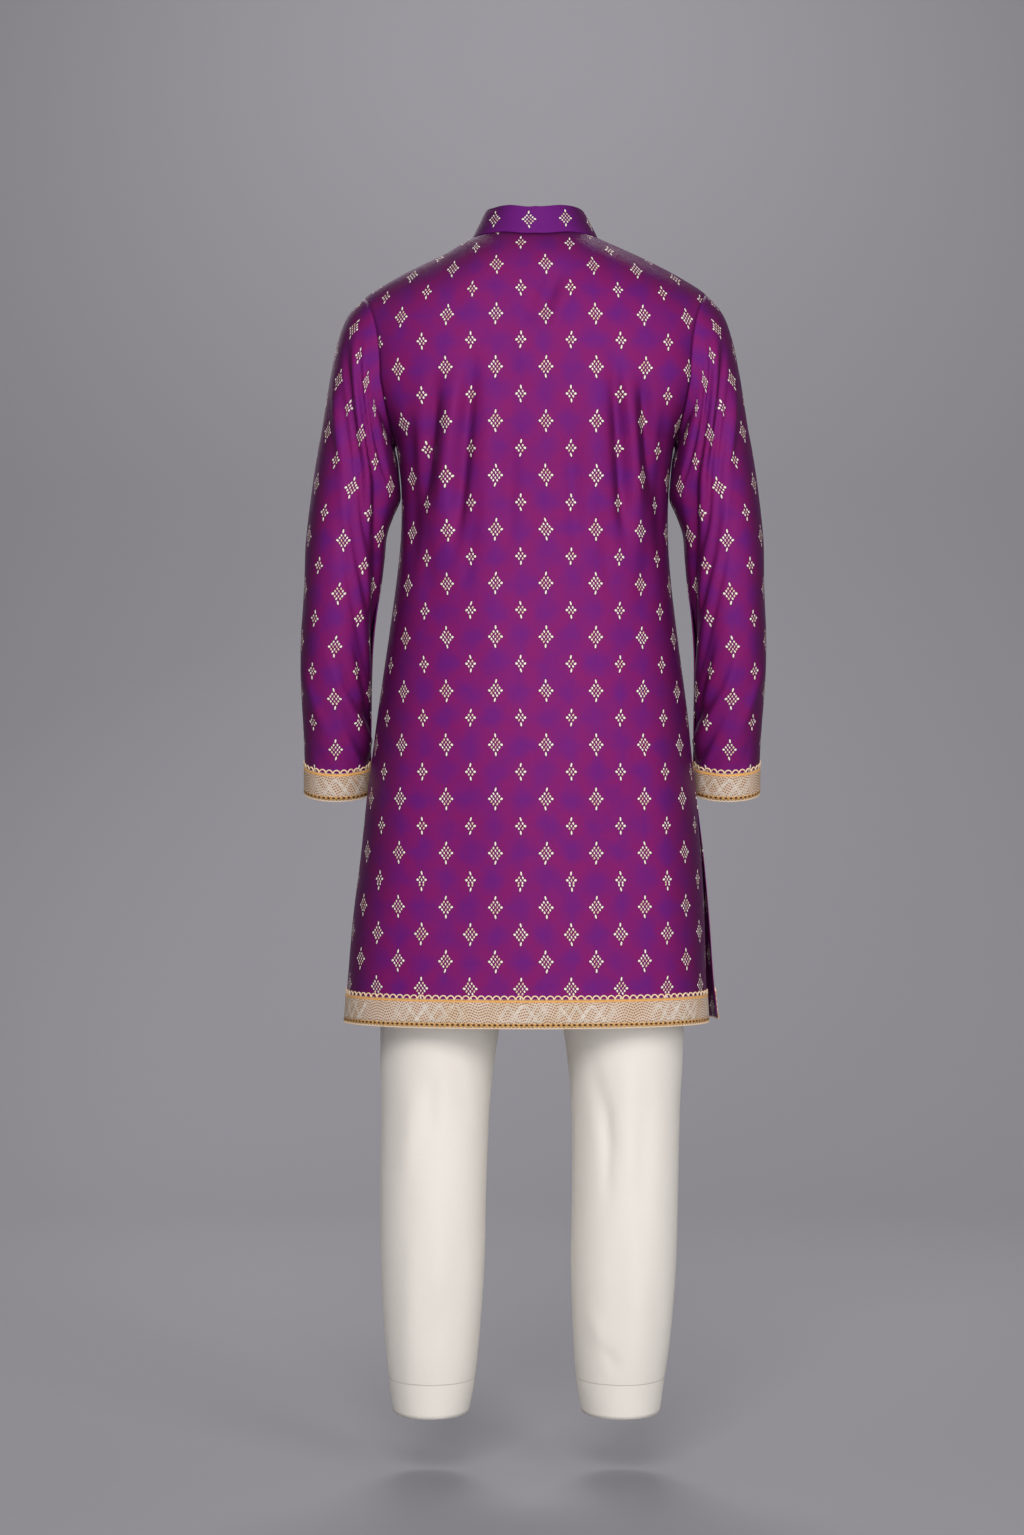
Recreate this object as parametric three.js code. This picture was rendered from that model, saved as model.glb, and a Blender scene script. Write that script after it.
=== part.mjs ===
import * as THREE from "three";

// A man's kurta set, shaped as it hangs on a standing wearer: a knee-length kurta with a stand
// collar, long sleeves, side slits and woven gold borders, over straight cream trousers.
// Millimetres, +Z up. The wearer faces -Y, so the back lies at +Y and their left side at +X.
// The origin is midway between the points where the two shoulder seams meet the collar.

// Driving sizes of the cloth and of the cut
const clothThickness = 1.5;
const trimThickness = 1.2;
const waistbandThickness = 3;
const seamGap = 0.3;
const hemZ = -985;
const slitTopZ = -640;
const underarm = { x: 176, y: -4, z: -258 };
const neckHalfWidth = 79;
const neckDepth = { back: 62, front: 86 };
const collar = { rise: 35, sideLean: 0.775, depthLean: 0.86, endGap: 2.5 };
const collarRounding = { drop: 14, columns: 2 };
const collarRows = 3;
const placket = { halfWidth: 17, bottomZ: -400 };
const button = { count: 4, radius: 5.5, height: 3, firstDrop: 26, spacing: 78 };
const crotchZ = -722;
const waist = { seamZ: -540, topZ: -500 };

// The kurta body below the armholes, from the hem up: where a level's centre lies, its half width,
// where its side seams lie from front to back, how far its back and front stand out, and how square
// it is in plan (2 is an ellipse).
const bodyLevels = [
  { z: -985, middle: 10.8, half: 228.5, seamY: 9, back: 129, front: -127, square: 2.3 },
  { z: -930, middle: 10.2, half: 225.2, seamY: 7, back: 128, front: -125, square: 2.3 },
  { z: -860, middle: 8.1, half: 221.5, seamY: 4, back: 127, front: -122, square: 2.3 },
  { z: -780, middle: 5.2, half: 214.6, seamY: 1, back: 126, front: -118, square: 2.3 },
  { z: -700, middle: 4.6, half: 206.8, seamY: -1, back: 125, front: -114, square: 2.3 },
  { z: -640, middle: 3.6, half: 200.0, seamY: -3, back: 123, front: -112, square: 2.3 },
  { z: -600, middle: 3.0, half: 195.5, seamY: -4, back: 120, front: -111, square: 2.3 },
  { z: -540, middle: 2.6, half: 187.2, seamY: -4, back: 113, front: -109, square: 2.3 },
  { z: -480, middle: 2.2, half: 179.0, seamY: -4, back: 106, front: -108, square: 2.3 },
  { z: -420, middle: 1.5, half: 171.8, seamY: -4, back: 102, front: -110, square: 2.3 },
  { z: -370, middle: 0.6, half: 168.2, seamY: -4, back: 101, front: -113, square: 2.4 },
  { z: -320, middle: 0.0, half: 168.4, seamY: -4, back: 103, front: -117, square: 2.55 },
  { z: -290, middle: 0.0, half: 171.0, seamY: -4, back: 105, front: -119, square: 2.7 },
  { z: -258, middle: 0.0, half: 176.0, seamY: -4, back: 107, front: -120, square: 2.85 },
  { z: -180, middle: 0.0, half: 193.0, seamY: 0, back: 110, front: -118, square: 2.85 },
];
// The heights of the rows of points. The hem borders cover the lowest interval.
const bodyHeights = [
  -985, -951, -895, -835, -770, -705, -640, -595, -550, -505, -465, -425, -390, -355, -322, -290,
];
// Below the slits the front panel hangs a little wider than the back one and ahead of it.
const slitSpread = { middle: -6.4, half: 7.3, y: -21, power: 1.4 };

// The lower part of each armhole, from the underarm point up to the chest level.
const armholeEdges = {
  back: [
    { x: 176, y: -4, z: -258 },
    { x: 178, y: 18, z: -252 },
    { x: 181, y: 38, z: -240 },
    { x: 185, y: 53, z: -223 },
    { x: 189, y: 63, z: -203 },
    { x: 193, y: 68, z: -180 },
  ],
  front: [
    { x: 176, y: -4, z: -258 },
    { x: 173.5, y: -24, z: -251 },
    { x: 171, y: -42, z: -239 },
    { x: 169.5, y: -56, z: -225 },
    { x: 169.5, y: -65, z: -208 },
    { x: 171, y: -70, z: -190 },
  ],
};
const yokeRows = 7;
// How each face rounds over from the chest to the shoulder seam: 1 is an ellipse, and less is
// fuller.
const roundOver = { back: 0.87, front: 0.95 };

// The height that each face rounds over to, above or below the origin: the shoulder seam, and
// nearer the middle the height it would reach if the neck didn't cut it off.
const ridge = [
  { x: 0, back: 24, front: -16 },
  { x: 40, back: 18.5, front: -10 },
  { x: 79, back: 0, front: 0 },
  { x: 124, back: -20, front: -20 },
  { x: 166, back: -40.5, front: -40.5 },
  { x: 202, back: -61, front: -61 },
  { x: 216, back: -71, front: -71 },
];
// Where the columns of both panels end on the neck seam and on the shoulder seam.
const topEdgeX = [0, 24.4, 46.4, 63.9, 75.1, 79, 98, 118, 138, 158, 178, 197, 216];
const neckColumn = 5;
// The wearer's left shoulder hangs a little lower than the right one.
const leftShoulderDrop = 5;
const dropEasedOver = 40;

// The sleeve as rings from the armhole to the wrist, for the wearer's left arm: the outer and inner
// point of each ring, its centre from front to back, its half depths and its forward tilt.
const sleeveRings = [
  { outX: 216, outZ: -71, inX: 176, inZ: -258, y: -2, back: 68, front: 71, tilt: 0 },
  { outX: 237, outZ: -96, inX: 179.2, inZ: -268, y: -1, back: 69, front: 70, tilt: 0 },
  { outX: 249, outZ: -129, inX: 174.4, inZ: -281, y: 0, back: 70, front: 69, tilt: 0 },
  { outX: 257, outZ: -166, inX: 172.4, inZ: -296, y: 0, back: 70, front: 68, tilt: 0 },
  { outX: 264, outZ: -206, inX: 170.9, inZ: -313, y: 0, back: 69, front: 67, tilt: 0 },
  { outX: 271, outZ: -248, inX: 170.9, inZ: -330, y: 0, back: 68, front: 66, tilt: 0 },
  { outX: 278, outZ: -292, inX: 179.5, inZ: -350, y: 1, back: 66, front: 64, tilt: 0 },
  { outX: 284, outZ: -336, inX: 187.5, inZ: -374, y: 2, back: 64, front: 62, tilt: 1 },
  { outX: 289, outZ: -380, inX: 190.5, inZ: -404, y: 3, back: 62, front: 60, tilt: 2 },
  { outX: 292, outZ: -424, inX: 194.5, inZ: -438, y: 4, back: 60, front: 58, tilt: 4 },
  { outX: 294, outZ: -470, inX: 200.5, inZ: -476, y: 3, back: 57, front: 55, tilt: 7 },
  { outX: 296, outZ: -518, inX: 205, inZ: -519, y: -1, back: 54, front: 52, tilt: 10 },
  { outX: 296, outZ: -566, inX: 207, inZ: -566, y: -9, back: 51, front: 49, tilt: 13 },
  { outX: 294, outZ: -614, inX: 208, inZ: -614, y: -20, back: 48, front: 46, tilt: 15 },
  { outX: 293, outZ: -663, inX: 209, inZ: -663, y: -33, back: 45, front: 44, tilt: 15 },
  { outX: 293.5, outZ: -697, inX: 209.5, inZ: -697, y: -42, back: 44, front: 43, tilt: 15 },
];
const sleeveEaseRings = 4;
// The right sleeve's lower part hangs a little nearer to the body than the left one's.
const rightWristInward = 7;
const clearOfBodyRing = 6;
// Folds stay off the quarter of the sleeve that faces the body, down to the ring where the two part.
const facesBodyTurn = 0.14;
const partedRing = 8;

// Soft folds of the cloth as seen from behind or in front: a line from one point to another, the
// width of the fold across it, and how far it stands out (or, when negative, sinks in).
const bodyFolds = {
  back: [
    { fromX: 77, fromZ: -175, toX: 98, toZ: -395, width: 14, lift: -4.5 },
    { fromX: 52, fromZ: -190, toX: 72, toZ: -400, width: 17, lift: 2.5 },
    { fromX: 98, fromZ: -185, toX: 118, toZ: -365, width: 14, lift: 3.5 },
    { fromX: 119, fromZ: -190, toX: 139, toZ: -335, width: 13, lift: -4 },
    { fromX: -96, fromZ: -175, toX: -111, toZ: -385, width: 14, lift: -4.5 },
    { fromX: -70, fromZ: -185, toX: -84, toZ: -400, width: 17, lift: 2.5 },
    { fromX: -112, fromZ: -185, toX: -128, toZ: -360, width: 13, lift: 3.5 },
    { fromX: -129, fromZ: -190, toX: -146, toZ: -325, width: 13, lift: -4 },
    { fromX: -30, fromZ: -45, toX: 4, toZ: -125, width: 14, lift: -2.5 },
  ],
  front: [
    { fromX: 118, fromZ: -190, toX: 66, toZ: -430, width: 17, lift: -4 },
    { fromX: -120, fromZ: -185, toX: -72, toZ: -450, width: 17, lift: -4 },
    { fromX: 140, fromZ: -260, toX: 120, toZ: -520, width: 17, lift: 3.5 },
    { fromX: -136, fromZ: -270, toX: -118, toZ: -500, width: 17, lift: 3.5 },
  ],
};
// Rows or columns over which the folds die out at a seam.
const bodyFoldEnd = 3;
const sleeveFoldEnd = 2;
// How quickly a fold dies out beyond the middle of its length.
const foldReach = 0.42;
// Folds of the left sleeve: from and to a share of the way round from the shoulder by the back,
// and a ring number, with their width in rings. Once round counts as three rings.
const ringsRound = 3;
const sleeveFolds = [
  { fromTurn: 0.16, fromRing: 1.2, toTurn: 0.4, toRing: 4.6, width: 0.75, lift: -4.5 },
  { fromTurn: 0.1, fromRing: 3.0, toTurn: 0.34, toRing: 6.2, width: 0.8, lift: 3 },
  { fromTurn: 0.3, fromRing: 10.2, toTurn: 0.52, toRing: 9.2, width: 0.6, lift: -4 },
  { fromTurn: 0.32, fromRing: 11.6, toTurn: 0.56, toRing: 10.6, width: 0.6, lift: -3.5 },
  { fromTurn: 0.84, fromRing: 2.0, toTurn: 0.62, toRing: 5.2, width: 0.8, lift: -4 },
];

// The trousers from the hem to the waist seam: the outer and inner edge of each leg, its centre from
// front to back, how far it stands out behind and in front, and how far round the leg a half goes:
// 180 degrees on a leg, less above the crotch, where the two legs join in the middle.
const trouserLevels = [
  { z: -1478, leftOut: 178, leftIn: 84, rightOut: 157, rightIn: 59, y: 8, back: 58, front: 58, sweep: 180 },
  { z: -1440, leftOut: 183.5, leftIn: 76.5, rightOut: 162.5, rightIn: 52.5, y: 9, back: 60, front: 60, sweep: 180 },
  { z: -1385, leftOut: 189, leftIn: 70.5, rightOut: 170, rightIn: 48.5, y: 11, back: 64, front: 62, sweep: 180 },
  { z: -1300, leftOut: 193.5, leftIn: 64.5, rightOut: 177, rightIn: 45.5, y: 12, back: 69, front: 65, sweep: 180 },
  { z: -1200, leftOut: 194.8, leftIn: 62, rightOut: 180, rightIn: 47, y: 9, back: 73, front: 69, sweep: 180 },
  { z: -1100, leftOut: 194, leftIn: 58, rightOut: 182.5, rightIn: 46.5, y: 3, back: 76, front: 75, sweep: 180 },
  { z: -1040, leftOut: 194.8, leftIn: 52, rightOut: 186, rightIn: 42, y: 1, back: 80, front: 79, sweep: 180 },
  { z: -980, leftOut: 195, leftIn: 43, rightOut: 188, rightIn: 34, y: 0, back: 85, front: 83, sweep: 180 },
  { z: -900, leftOut: 193, leftIn: 30, rightOut: 189, rightIn: 27, y: 0, back: 93, front: 88, sweep: 180 },
  { z: -820, leftOut: 189, leftIn: 17, rightOut: 187, rightIn: 16, y: 0, back: 101, front: 92, sweep: 180 },
  { z: -760, leftOut: 185, leftIn: 6, rightOut: 185, rightIn: 6, y: 0, back: 107, front: 95, sweep: 180 },
  { z: -722, leftOut: 183, leftIn: 0, rightOut: 183, rightIn: 0, y: 0, back: 107, front: 96, sweep: 180 },
  { z: -698, leftOut: 182, leftIn: 0, rightOut: 182, rightIn: 0, y: 0, back: 109, front: 97, sweep: 150 },
  { z: -672, leftOut: 180, leftIn: 0, rightOut: 180, rightIn: 0, y: 0, back: 113, front: 98, sweep: 126 },
  { z: -640, leftOut: 178, leftIn: 0, rightOut: 178, rightIn: 0, y: 0, back: 118, front: 98, sweep: 108 },
  { z: -610, leftOut: 175, leftIn: 0, rightOut: 175, rightIn: 0, y: 0, back: 118, front: 98, sweep: 97 },
  { z: -575, leftOut: 169, leftIn: 0, rightOut: 169, rightIn: 0, y: 0, back: 112, front: 97, sweep: 90 },
  { z: -540, leftOut: 162, leftIn: 0, rightOut: 162, rightIn: 0, y: 0, back: 104, front: 96, sweep: 90 },
  { z: -500, leftOut: 156, leftIn: 0, rightOut: 156, rightIn: 0, y: 0, back: 98, front: 95, sweep: 90 },
];
const legColumns = 7;

// Finish of each material
const purple = new THREE.MeshStandardMaterial({ color: 0x6a1f6e, roughness: 0.55, metalness: 0.05 });
const gold = new THREE.MeshStandardMaterial({ color: 0xb8925c, roughness: 0.45, metalness: 0.35 });
const cream = new THREE.MeshStandardMaterial({ color: 0xe9e2d8, roughness: 0.8, metalness: 0 });
const brass = new THREE.MeshStandardMaterial({ color: 0xc09a4e, roughness: 0.3, metalness: 0.9 });

// Reads one column of a table at a place between its rows, on a smooth curve through them.
function read(table, key, name, at) {
  const last = table.length - 1;
  const found = table.findIndex((row) => row[key] >= at);
  const i = THREE.MathUtils.clamp(found, 1, last);
  const slope = (k) => {
    const before = table[Math.max(0, k - 1)];
    const after = table[Math.min(last, k + 1)];
    return (after[name] - before[name]) / (after[key] - before[key]);
  };
  const a = table[i - 1];
  const b = table[i];
  const span = b[key] - a[key];
  const t = THREE.MathUtils.clamp((at - a[key]) / span, 0, 1);
  const ease = t * t * (3 - 2 * t);
  const swayA = t * (1 - t) ** 2 * span * slope(i - 1);
  const swayB = t * t * (t - 1) * span * slope(i);
  return a[name] + (b[name] - a[name]) * ease + swayA + swayB;
}

const smooth = (t) => t * t * (3 - 2 * t);

// How far a point at (x, z) is lifted by a list of folds: each is a soft ridge or trough along its
// line, deepest in the middle of its length and gone a little beyond its ends.
function liftOf(folds, x, z) {
  let lift = 0;
  for (const fold of folds) {
    const dx = fold.toX - fold.fromX;
    const dz = fold.toZ - fold.fromZ;
    const length = Math.hypot(dx, dz);
    const along = ((x - fold.fromX) * dx + (z - fold.fromZ) * dz) / (length * length);
    const across = ((x - fold.fromX) * dz - (z - fold.fromZ) * dx) / length;
    const fade = Math.exp(-(((along - 0.5) / foldReach) ** 4));
    lift += fold.lift * fade * Math.exp(-((across / fold.width) ** 2));
  }
  return lift;
}

// A level of the body as one face of a superellipse in plan, cut off where the armhole passes.
function levelPoint(level, across) {
  const out = level.depth - level.seamY;
  const reach = Math.max(0, (level.edgeY - level.seamY) / out);
  const span = (1 - reach ** level.square) ** (1 / level.square);
  const share = Math.sin(across * Math.asin(span));
  const bulge = Math.max(0, 1 - Math.abs(share) ** level.square) ** (1 / level.square);
  return new THREE.Vector3(level.middle + (level.half / span) * share, level.seamY + out * bulge, level.z);
}

// The level of one face at a height below the armholes.
function bodyLevel(face, z) {
  const spread = face === "front" ? Math.max(0, (slitTopZ - z) / (slitTopZ - hemZ)) ** slitSpread.power : 0;
  const seamY = read(bodyLevels, "z", "seamY", z) + slitSpread.y * spread;
  return {
    z,
    middle: read(bodyLevels, "z", "middle", z) + slitSpread.middle * spread,
    half: read(bodyLevels, "z", "half", z) + slitSpread.half * spread,
    seamY,
    edgeY: seamY,
    depth: read(bodyLevels, "z", face, z),
    square: read(bodyLevels, "z", "square", z),
  };
}

// The level of one face beside the armhole, between the underarm and the chest.
function armholeLevel(face, edge, share) {
  return {
    z: edge.z,
    middle: 0,
    half: edge.x,
    seamY: underarm.y * (1 - share),
    edgeY: edge.y,
    depth: read(bodyLevels, "z", face, edge.z),
    square: read(bodyLevels, "z", "square", edge.z),
  };
}

// A point above the chest level, where the face rounds over to the shoulder seam or the neck seam.
function yokePoint(face, chest, column, up) {
  const side = Math.sign(column - (topEdgeX.length - 1));
  const step = Math.abs(column - (topEdgeX.length - 1));
  const base = levelPoint(chest, (side * step) / (topEdgeX.length - 1));
  const topX = topEdgeX[step];
  const x = base.x + (side * topX - base.x) * smooth(up);
  const neckY = neckDepth[face] * Math.sqrt(Math.max(0, 1 - (topX / neckHalfWidth) ** 2));
  const power = roundOver[face];
  const angle = up * Math.acos((neckY / Math.abs(base.y)) ** (1 / power));
  const y = base.y * Math.cos(angle) ** power;
  const beyondNeck = THREE.MathUtils.clamp((x - neckHalfWidth) / dropEasedOver, 0, 1);
  const topZ = read(ridge, "x", face, Math.abs(x)) - leftShoulderDrop * smooth(beyondNeck);
  return new THREE.Vector3(x, y, chest.z + (topZ - chest.z) * Math.sin(angle) ** power);
}

// One face of the kurta body as rows of points from the hem up, each row from -X to +X.
function bodyRows(face) {
  const half = topEdgeX.length - 1;
  const columns = Array.from({ length: 2 * half + 1 }, (_, j) => j);
  const edges = armholeEdges[face];
  const levels = [
    ...bodyHeights.map((z) => bodyLevel(face, z)),
    ...edges.map((edge, k) => armholeLevel(face, edge, k / (edges.length - 1))),
  ];
  const rows = levels.map((level) => columns.map((j) => levelPoint(level, (j - half) / half)));
  const chest = levels[levels.length - 1];
  for (let k = 1; k <= yokeRows; k++)
    rows.push(columns.map((j) => yokePoint(face, chest, j, k / yokeRows)));
  return rows;
}

// The unit normal at each point of a grid of rows. turn is 1 or -1, and makes them point outwards.
function normalsOf(rows, turn, closed) {
  const last = rows.length - 1;
  return rows.map((row, i) =>
    row.map((_, j) => {
      const n = row.length;
      const before = closed ? row[(j + n - 1) % n] : row[Math.max(0, j - 1)];
      const after = closed ? row[(j + 1) % n] : row[Math.min(n - 1, j + 1)];
      const across = after.clone().sub(before);
      const up = rows[Math.min(last, i + 1)][j].clone().sub(rows[Math.max(0, i - 1)][j]);
      return across.cross(up).multiplyScalar(turn).normalize();
    }),
  );
}

// A panel of cloth: its rows of points at mid thickness, their outward normals and how it closes.
function makePanel(rows, turn, closed = false) {
  return { rows, turn, closed, normals: normalsOf(rows, turn, closed) };
}

// Presses folds into a panel. They die out towards its seams, so that neighbours still meet.
function pressFolds(panel, liftAt, fadeAt) {
  panel.rows.forEach((row, i) =>
    row.forEach((p, j) => p.addScaledVector(panel.normals[i][j], liftAt(p, i, j) * fadeAt(i, j))),
  );
  panel.normals = normalsOf(panel.rows, panel.turn, panel.closed);
}

// Gives the points that panels share at a seam one normal, first among the panels of each group
// and then among the groups, so that both walls end on the same plane there.
function weldNormals(groups) {
  const keyOf = (p) => [p.x, p.y, p.z].map((v) => Math.round(v * 100)).join(" ");
  const merged = new Map();
  for (const group of groups) {
    const own = new Map();
    for (const panel of group)
      panel.rows.forEach((row, i) =>
        row.forEach((p, j) => {
          const sum = own.get(keyOf(p)) ?? new THREE.Vector3();
          own.set(keyOf(p), sum.add(panel.normals[i][j]));
        }),
      );
    for (const [key, sum] of own) {
      const all = merged.get(key) ?? new THREE.Vector3();
      merged.set(key, all.add(sum.normalize()));
    }
  }
  for (const panel of groups.flat())
    panel.normals = panel.rows.map((row) => row.map((p) => merged.get(keyOf(p)).clone().normalize()));
}

// How an edge point moves into its panel, towards its inner neighbour, until it is the given
// distance from the seam.
function pullBack(point, inner, beforeEdge, afterEdge, normal, distance) {
  const seam = afterEdge.clone().sub(beforeEdge);
  seam.addScaledVector(normal, -seam.dot(normal)).normalize();
  const way = inner.clone().sub(point);
  way.addScaledVector(normal, -way.dot(normal));
  const square = way.clone().addScaledVector(seam, -way.dot(seam)).length();
  return way.multiplyScalar(distance / square);
}

// The grid of points of a panel's wall at one distance from mid thickness. gaps says how far each
// edge is pulled back: low and high for the first and last row, start and end for the columns.
function offsetRows(panel, distance, gaps) {
  const { rows, normals, closed } = panel;
  const last = rows.length - 1;
  return rows.map((row, i) =>
    row.map((p, j) => {
      const n = row.length;
      const moved = p.clone().addScaledVector(normals[i][j], distance);
      const left = closed ? row[(j + n - 1) % n] : row[Math.max(0, j - 1)];
      const right = closed ? row[(j + 1) % n] : row[Math.min(n - 1, j + 1)];
      const below = rows[Math.max(0, i - 1)][j];
      const above = rows[Math.min(last, i + 1)][j];
      if (i === 0) moved.add(pullBack(p, above, left, right, normals[i][j], gaps.low));
      if (i === last) moved.add(pullBack(p, below, left, right, normals[i][j], gaps.high));
      if (!closed && j === 0) moved.add(pullBack(p, right, below, above, normals[i][j], gaps.start));
      if (!closed && j === n - 1) moved.add(pullBack(p, left, below, above, normals[i][j], gaps.end));
      return moved;
    }),
  );
}

// Closes two matching grids of points into one solid wall.
function wallBetween(inside, outside, closed) {
  const height = inside.length;
  const width = inside[0].length;
  const positions = [...inside.flat(), ...outside.flat()].flatMap((p) => [p.x, p.y, p.z]);
  const at = (layer, i, j) => layer * height * width + i * width + (j % width);
  const triangles = [];
  const quad = (a, b, c, d) => triangles.push(a, b, c, a, c, d);
  const cells = closed ? width : width - 1;
  for (let i = 0; i < height - 1; i++)
    for (let j = 0; j < cells; j++) {
      quad(at(1, i, j), at(1, i, j + 1), at(1, i + 1, j + 1), at(1, i + 1, j));
      quad(at(0, i, j), at(0, i + 1, j), at(0, i + 1, j + 1), at(0, i, j + 1));
    }
  for (let j = 0; j < cells; j++) {
    quad(at(0, 0, j), at(0, 0, j + 1), at(1, 0, j + 1), at(1, 0, j));
    quad(at(1, height - 1, j), at(1, height - 1, j + 1), at(0, height - 1, j + 1), at(0, height - 1, j));
  }
  for (let i = 0; !closed && i < height - 1; i++) {
    quad(at(1, i, 0), at(1, i + 1, 0), at(0, i + 1, 0), at(0, i, 0));
    quad(at(0, i, width - 1), at(0, i + 1, width - 1), at(1, i + 1, width - 1), at(1, i, width - 1));
  }
  const geometry = new THREE.BufferGeometry();
  geometry.setAttribute("position", new THREE.Float32BufferAttribute(positions, 3));
  geometry.setIndex(triangles);
  if (volumeOf(geometry) < 0) geometry.setIndex(triangles.reverse());
  geometry.computeVertexNormals();
  return geometry;
}

function volumeOf(geometry) {
  const p = geometry.attributes.position;
  const corner = (k) => new THREE.Vector3().fromBufferAttribute(p, geometry.index.getX(k));
  let volume = 0;
  for (let k = 0; k < geometry.index.count; k += 3)
    volume += corner(k).dot(corner(k + 1).cross(corner(k + 2))) / 6;
  return volume;
}

const group = new THREE.Group();

function addMesh(name, geometry, material) {
  const mesh = new THREE.Mesh(geometry, material);
  mesh.name = name;
  group.add(mesh);
  return mesh;
}

// Adds a panel as a wall of even thickness about its points.
function addCloth(name, panel, material, thickness = clothThickness, ownGaps = {}) {
  const half = seamGap / 2;
  const gaps = { low: half, high: half, start: half, end: half, ...ownGaps };
  const inside = offsetRows(panel, -thickness / 2, gaps);
  const outside = offsetRows(panel, thickness / 2, gaps);
  return addMesh(name, wallBetween(inside, outside, panel.closed), material);
}

// Adds a strip that lies on a panel: some of the panel's own outer points, moved out.
function addTrim(name, panel, material, pick) {
  const lift = clothThickness / 2 + seamGap;
  const layer = (distance) => pick(offsetRows(panel, distance, { low: 0, high: 0, start: 0, end: 0 }));
  return addMesh(name, wallBetween(layer(lift), layer(lift + trimThickness), panel.closed), material);
}

// Kurta body: a back and a front panel, sewn at the shoulders and at the sides down to the slits
const halfColumns = topEdgeX.length - 1;
const back = makePanel(bodyRows("back"), -1);
const front = makePanel(bodyRows("front"), 1);
const underarmRow = bodyHeights.length;
const topRow = back.rows.length - 1;
for (const [face, panel] of [["back", back], ["front", front]]) {
  const fade = (i, j) => {
    const fromSide = Math.min(1, (halfColumns - Math.abs(j - halfColumns)) / bodyFoldEnd);
    const fromTop = Math.min(1, (topRow - i) / bodyFoldEnd);
    return smooth(fromSide) * smooth(fromTop);
  };
  pressFolds(panel, (p) => liftOf(bodyFolds[face], p.x, p.z), fade);
}

// Sleeves: each one tube of cloth from the armhole of the two panels to the wrist
function armholeLoop(column) {
  const loop = [];
  for (let i = topRow; i >= underarmRow; i--) loop.push(back.rows[i][column]);
  for (let i = underarmRow + 1; i < topRow; i++) loop.push(front.rows[i][column]);
  return loop;
}

// A point of a sleeve ring, turn being the share of the way round from the shoulder by the back.
function ringPoint(ring, turn, side) {
  const angle = 2 * Math.PI * turn;
  const depth = Math.sin(angle) > 0 ? ring.back : ring.front;
  const tilt = THREE.MathUtils.degToRad(ring.tilt);
  const towardOut = Math.cos(angle);
  const towardBack = depth * Math.sin(angle);
  return new THREE.Vector3(
    (side * (ring.outX + ring.inX)) / 2 + (side * towardOut * (ring.outX - ring.inX)) / 2,
    ring.y + towardBack * Math.cos(tilt),
    (ring.outZ + ring.inZ) / 2 + (towardOut * (ring.outZ - ring.inZ)) / 2 - towardBack * Math.sin(tilt),
  );
}

function sleevePanel(side) {
  const loop = armholeLoop(side > 0 ? 2 * halfColumns : 0);
  const around = loop.length;
  const last = sleeveRings.length - 1;
  const rows = sleeveRings.map((ring, r) => {
    const below = Math.max(0, (r - clearOfBodyRing) / (last - clearOfBodyRing));
    const inward = side < 0 ? rightWristInward * smooth(below) : 0;
    const ease = Math.max(0, 1 - r / sleeveEaseRings) ** 2;
    return loop.map((seam, k) => {
      const p = ringPoint(ring, k / around, side);
      p.x += inward;
      return p.addScaledVector(seam.clone().sub(ringPoint(sleeveRings[0], k / around, side)), ease);
    });
  });
  const panel = makePanel(rows, -side, true);
  const lift = (p, r, k) => {
    const folds = sleeveFolds.map((fold) => ({
      fromX: fold.fromTurn * ringsRound,
      fromZ: fold.fromRing,
      toX: fold.toTurn * ringsRound,
      toZ: fold.toRing,
      width: fold.width,
      lift: fold.lift,
    }));
    return liftOf(folds, (k / around) * ringsRound, r);
  };
  const nearBody = (k) => smooth(Math.min(1, Math.abs(k / around - 0.5) / facesBodyTurn));
  const fade = (r, k) => {
    const fromArmhole = smooth(Math.min(1, r / sleeveFoldEnd));
    const fromWrist = r > last - sleeveFoldEnd ? 0 : 1;
    return fromArmhole * fromWrist * (r < partedRing ? nearBody(k) : 1);
  };
  pressFolds(panel, lift, fade);
  return panel;
}

const sleeves = { left: sleevePanel(1), right: sleevePanel(-1) };

// Stand collar: one band sewn all round the neck, its two ends meeting at the front
function collarPanel() {
  const fromLeft = halfColumns - neckColumn;
  const fromRight = halfColumns + neckColumn;
  const frontTop = front.rows[topRow];
  const seam = [
    ...frontTop.slice(halfColumns, fromRight),
    ...back.rows[topRow].slice(fromLeft, fromRight + 1).reverse(),
    ...frontTop.slice(fromLeft + 1, halfColumns + 1),
  ];
  const end = seam.length - 1;
  const rows = [];
  for (let r = 0; r <= collarRows; r++)
    rows.push(
      seam.map((p, k) => {
        const fromEnd = Math.min(k, end - k) / collarRounding.columns;
        const round = collarRounding.drop * Math.max(0, 1 - fromEnd) ** 2;
        const up = r / collarRows;
        return new THREE.Vector3(
          p.x * (1 + (collar.sideLean - 1) * up),
          p.y * (1 + (collar.depthLean - 1) * up),
          p.z + (collar.rise - round) * up,
        );
      }),
    );
  return makePanel(rows, 1);
}

const collarBand = collarPanel();
weldNormals([[back, front], [sleeves.left, sleeves.right], [collarBand]]);

addCloth("kurta_back", back, purple);
addCloth("kurta_front", front, purple);
addCloth("sleeve_left", sleeves.left, purple);
addCloth("sleeve_right", sleeves.right, purple);
addCloth("collar", collarBand, purple, 2 * clothThickness, { start: collar.endGap, end: collar.endGap });

// Woven gold borders, laid on the cloth along the hem of each panel and round each wrist
const lowestRows = (rows) => rows.slice(0, 2);
const wristRows = (rows) => rows.slice(-2);
addTrim("hem_border_back", back, gold, lowestRows);
addTrim("hem_border_front", front, gold, lowestRows);
addTrim("cuff_border_left", sleeves.left, gold, wristRows);
addTrim("cuff_border_right", sleeves.right, gold, wristRows);

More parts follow.
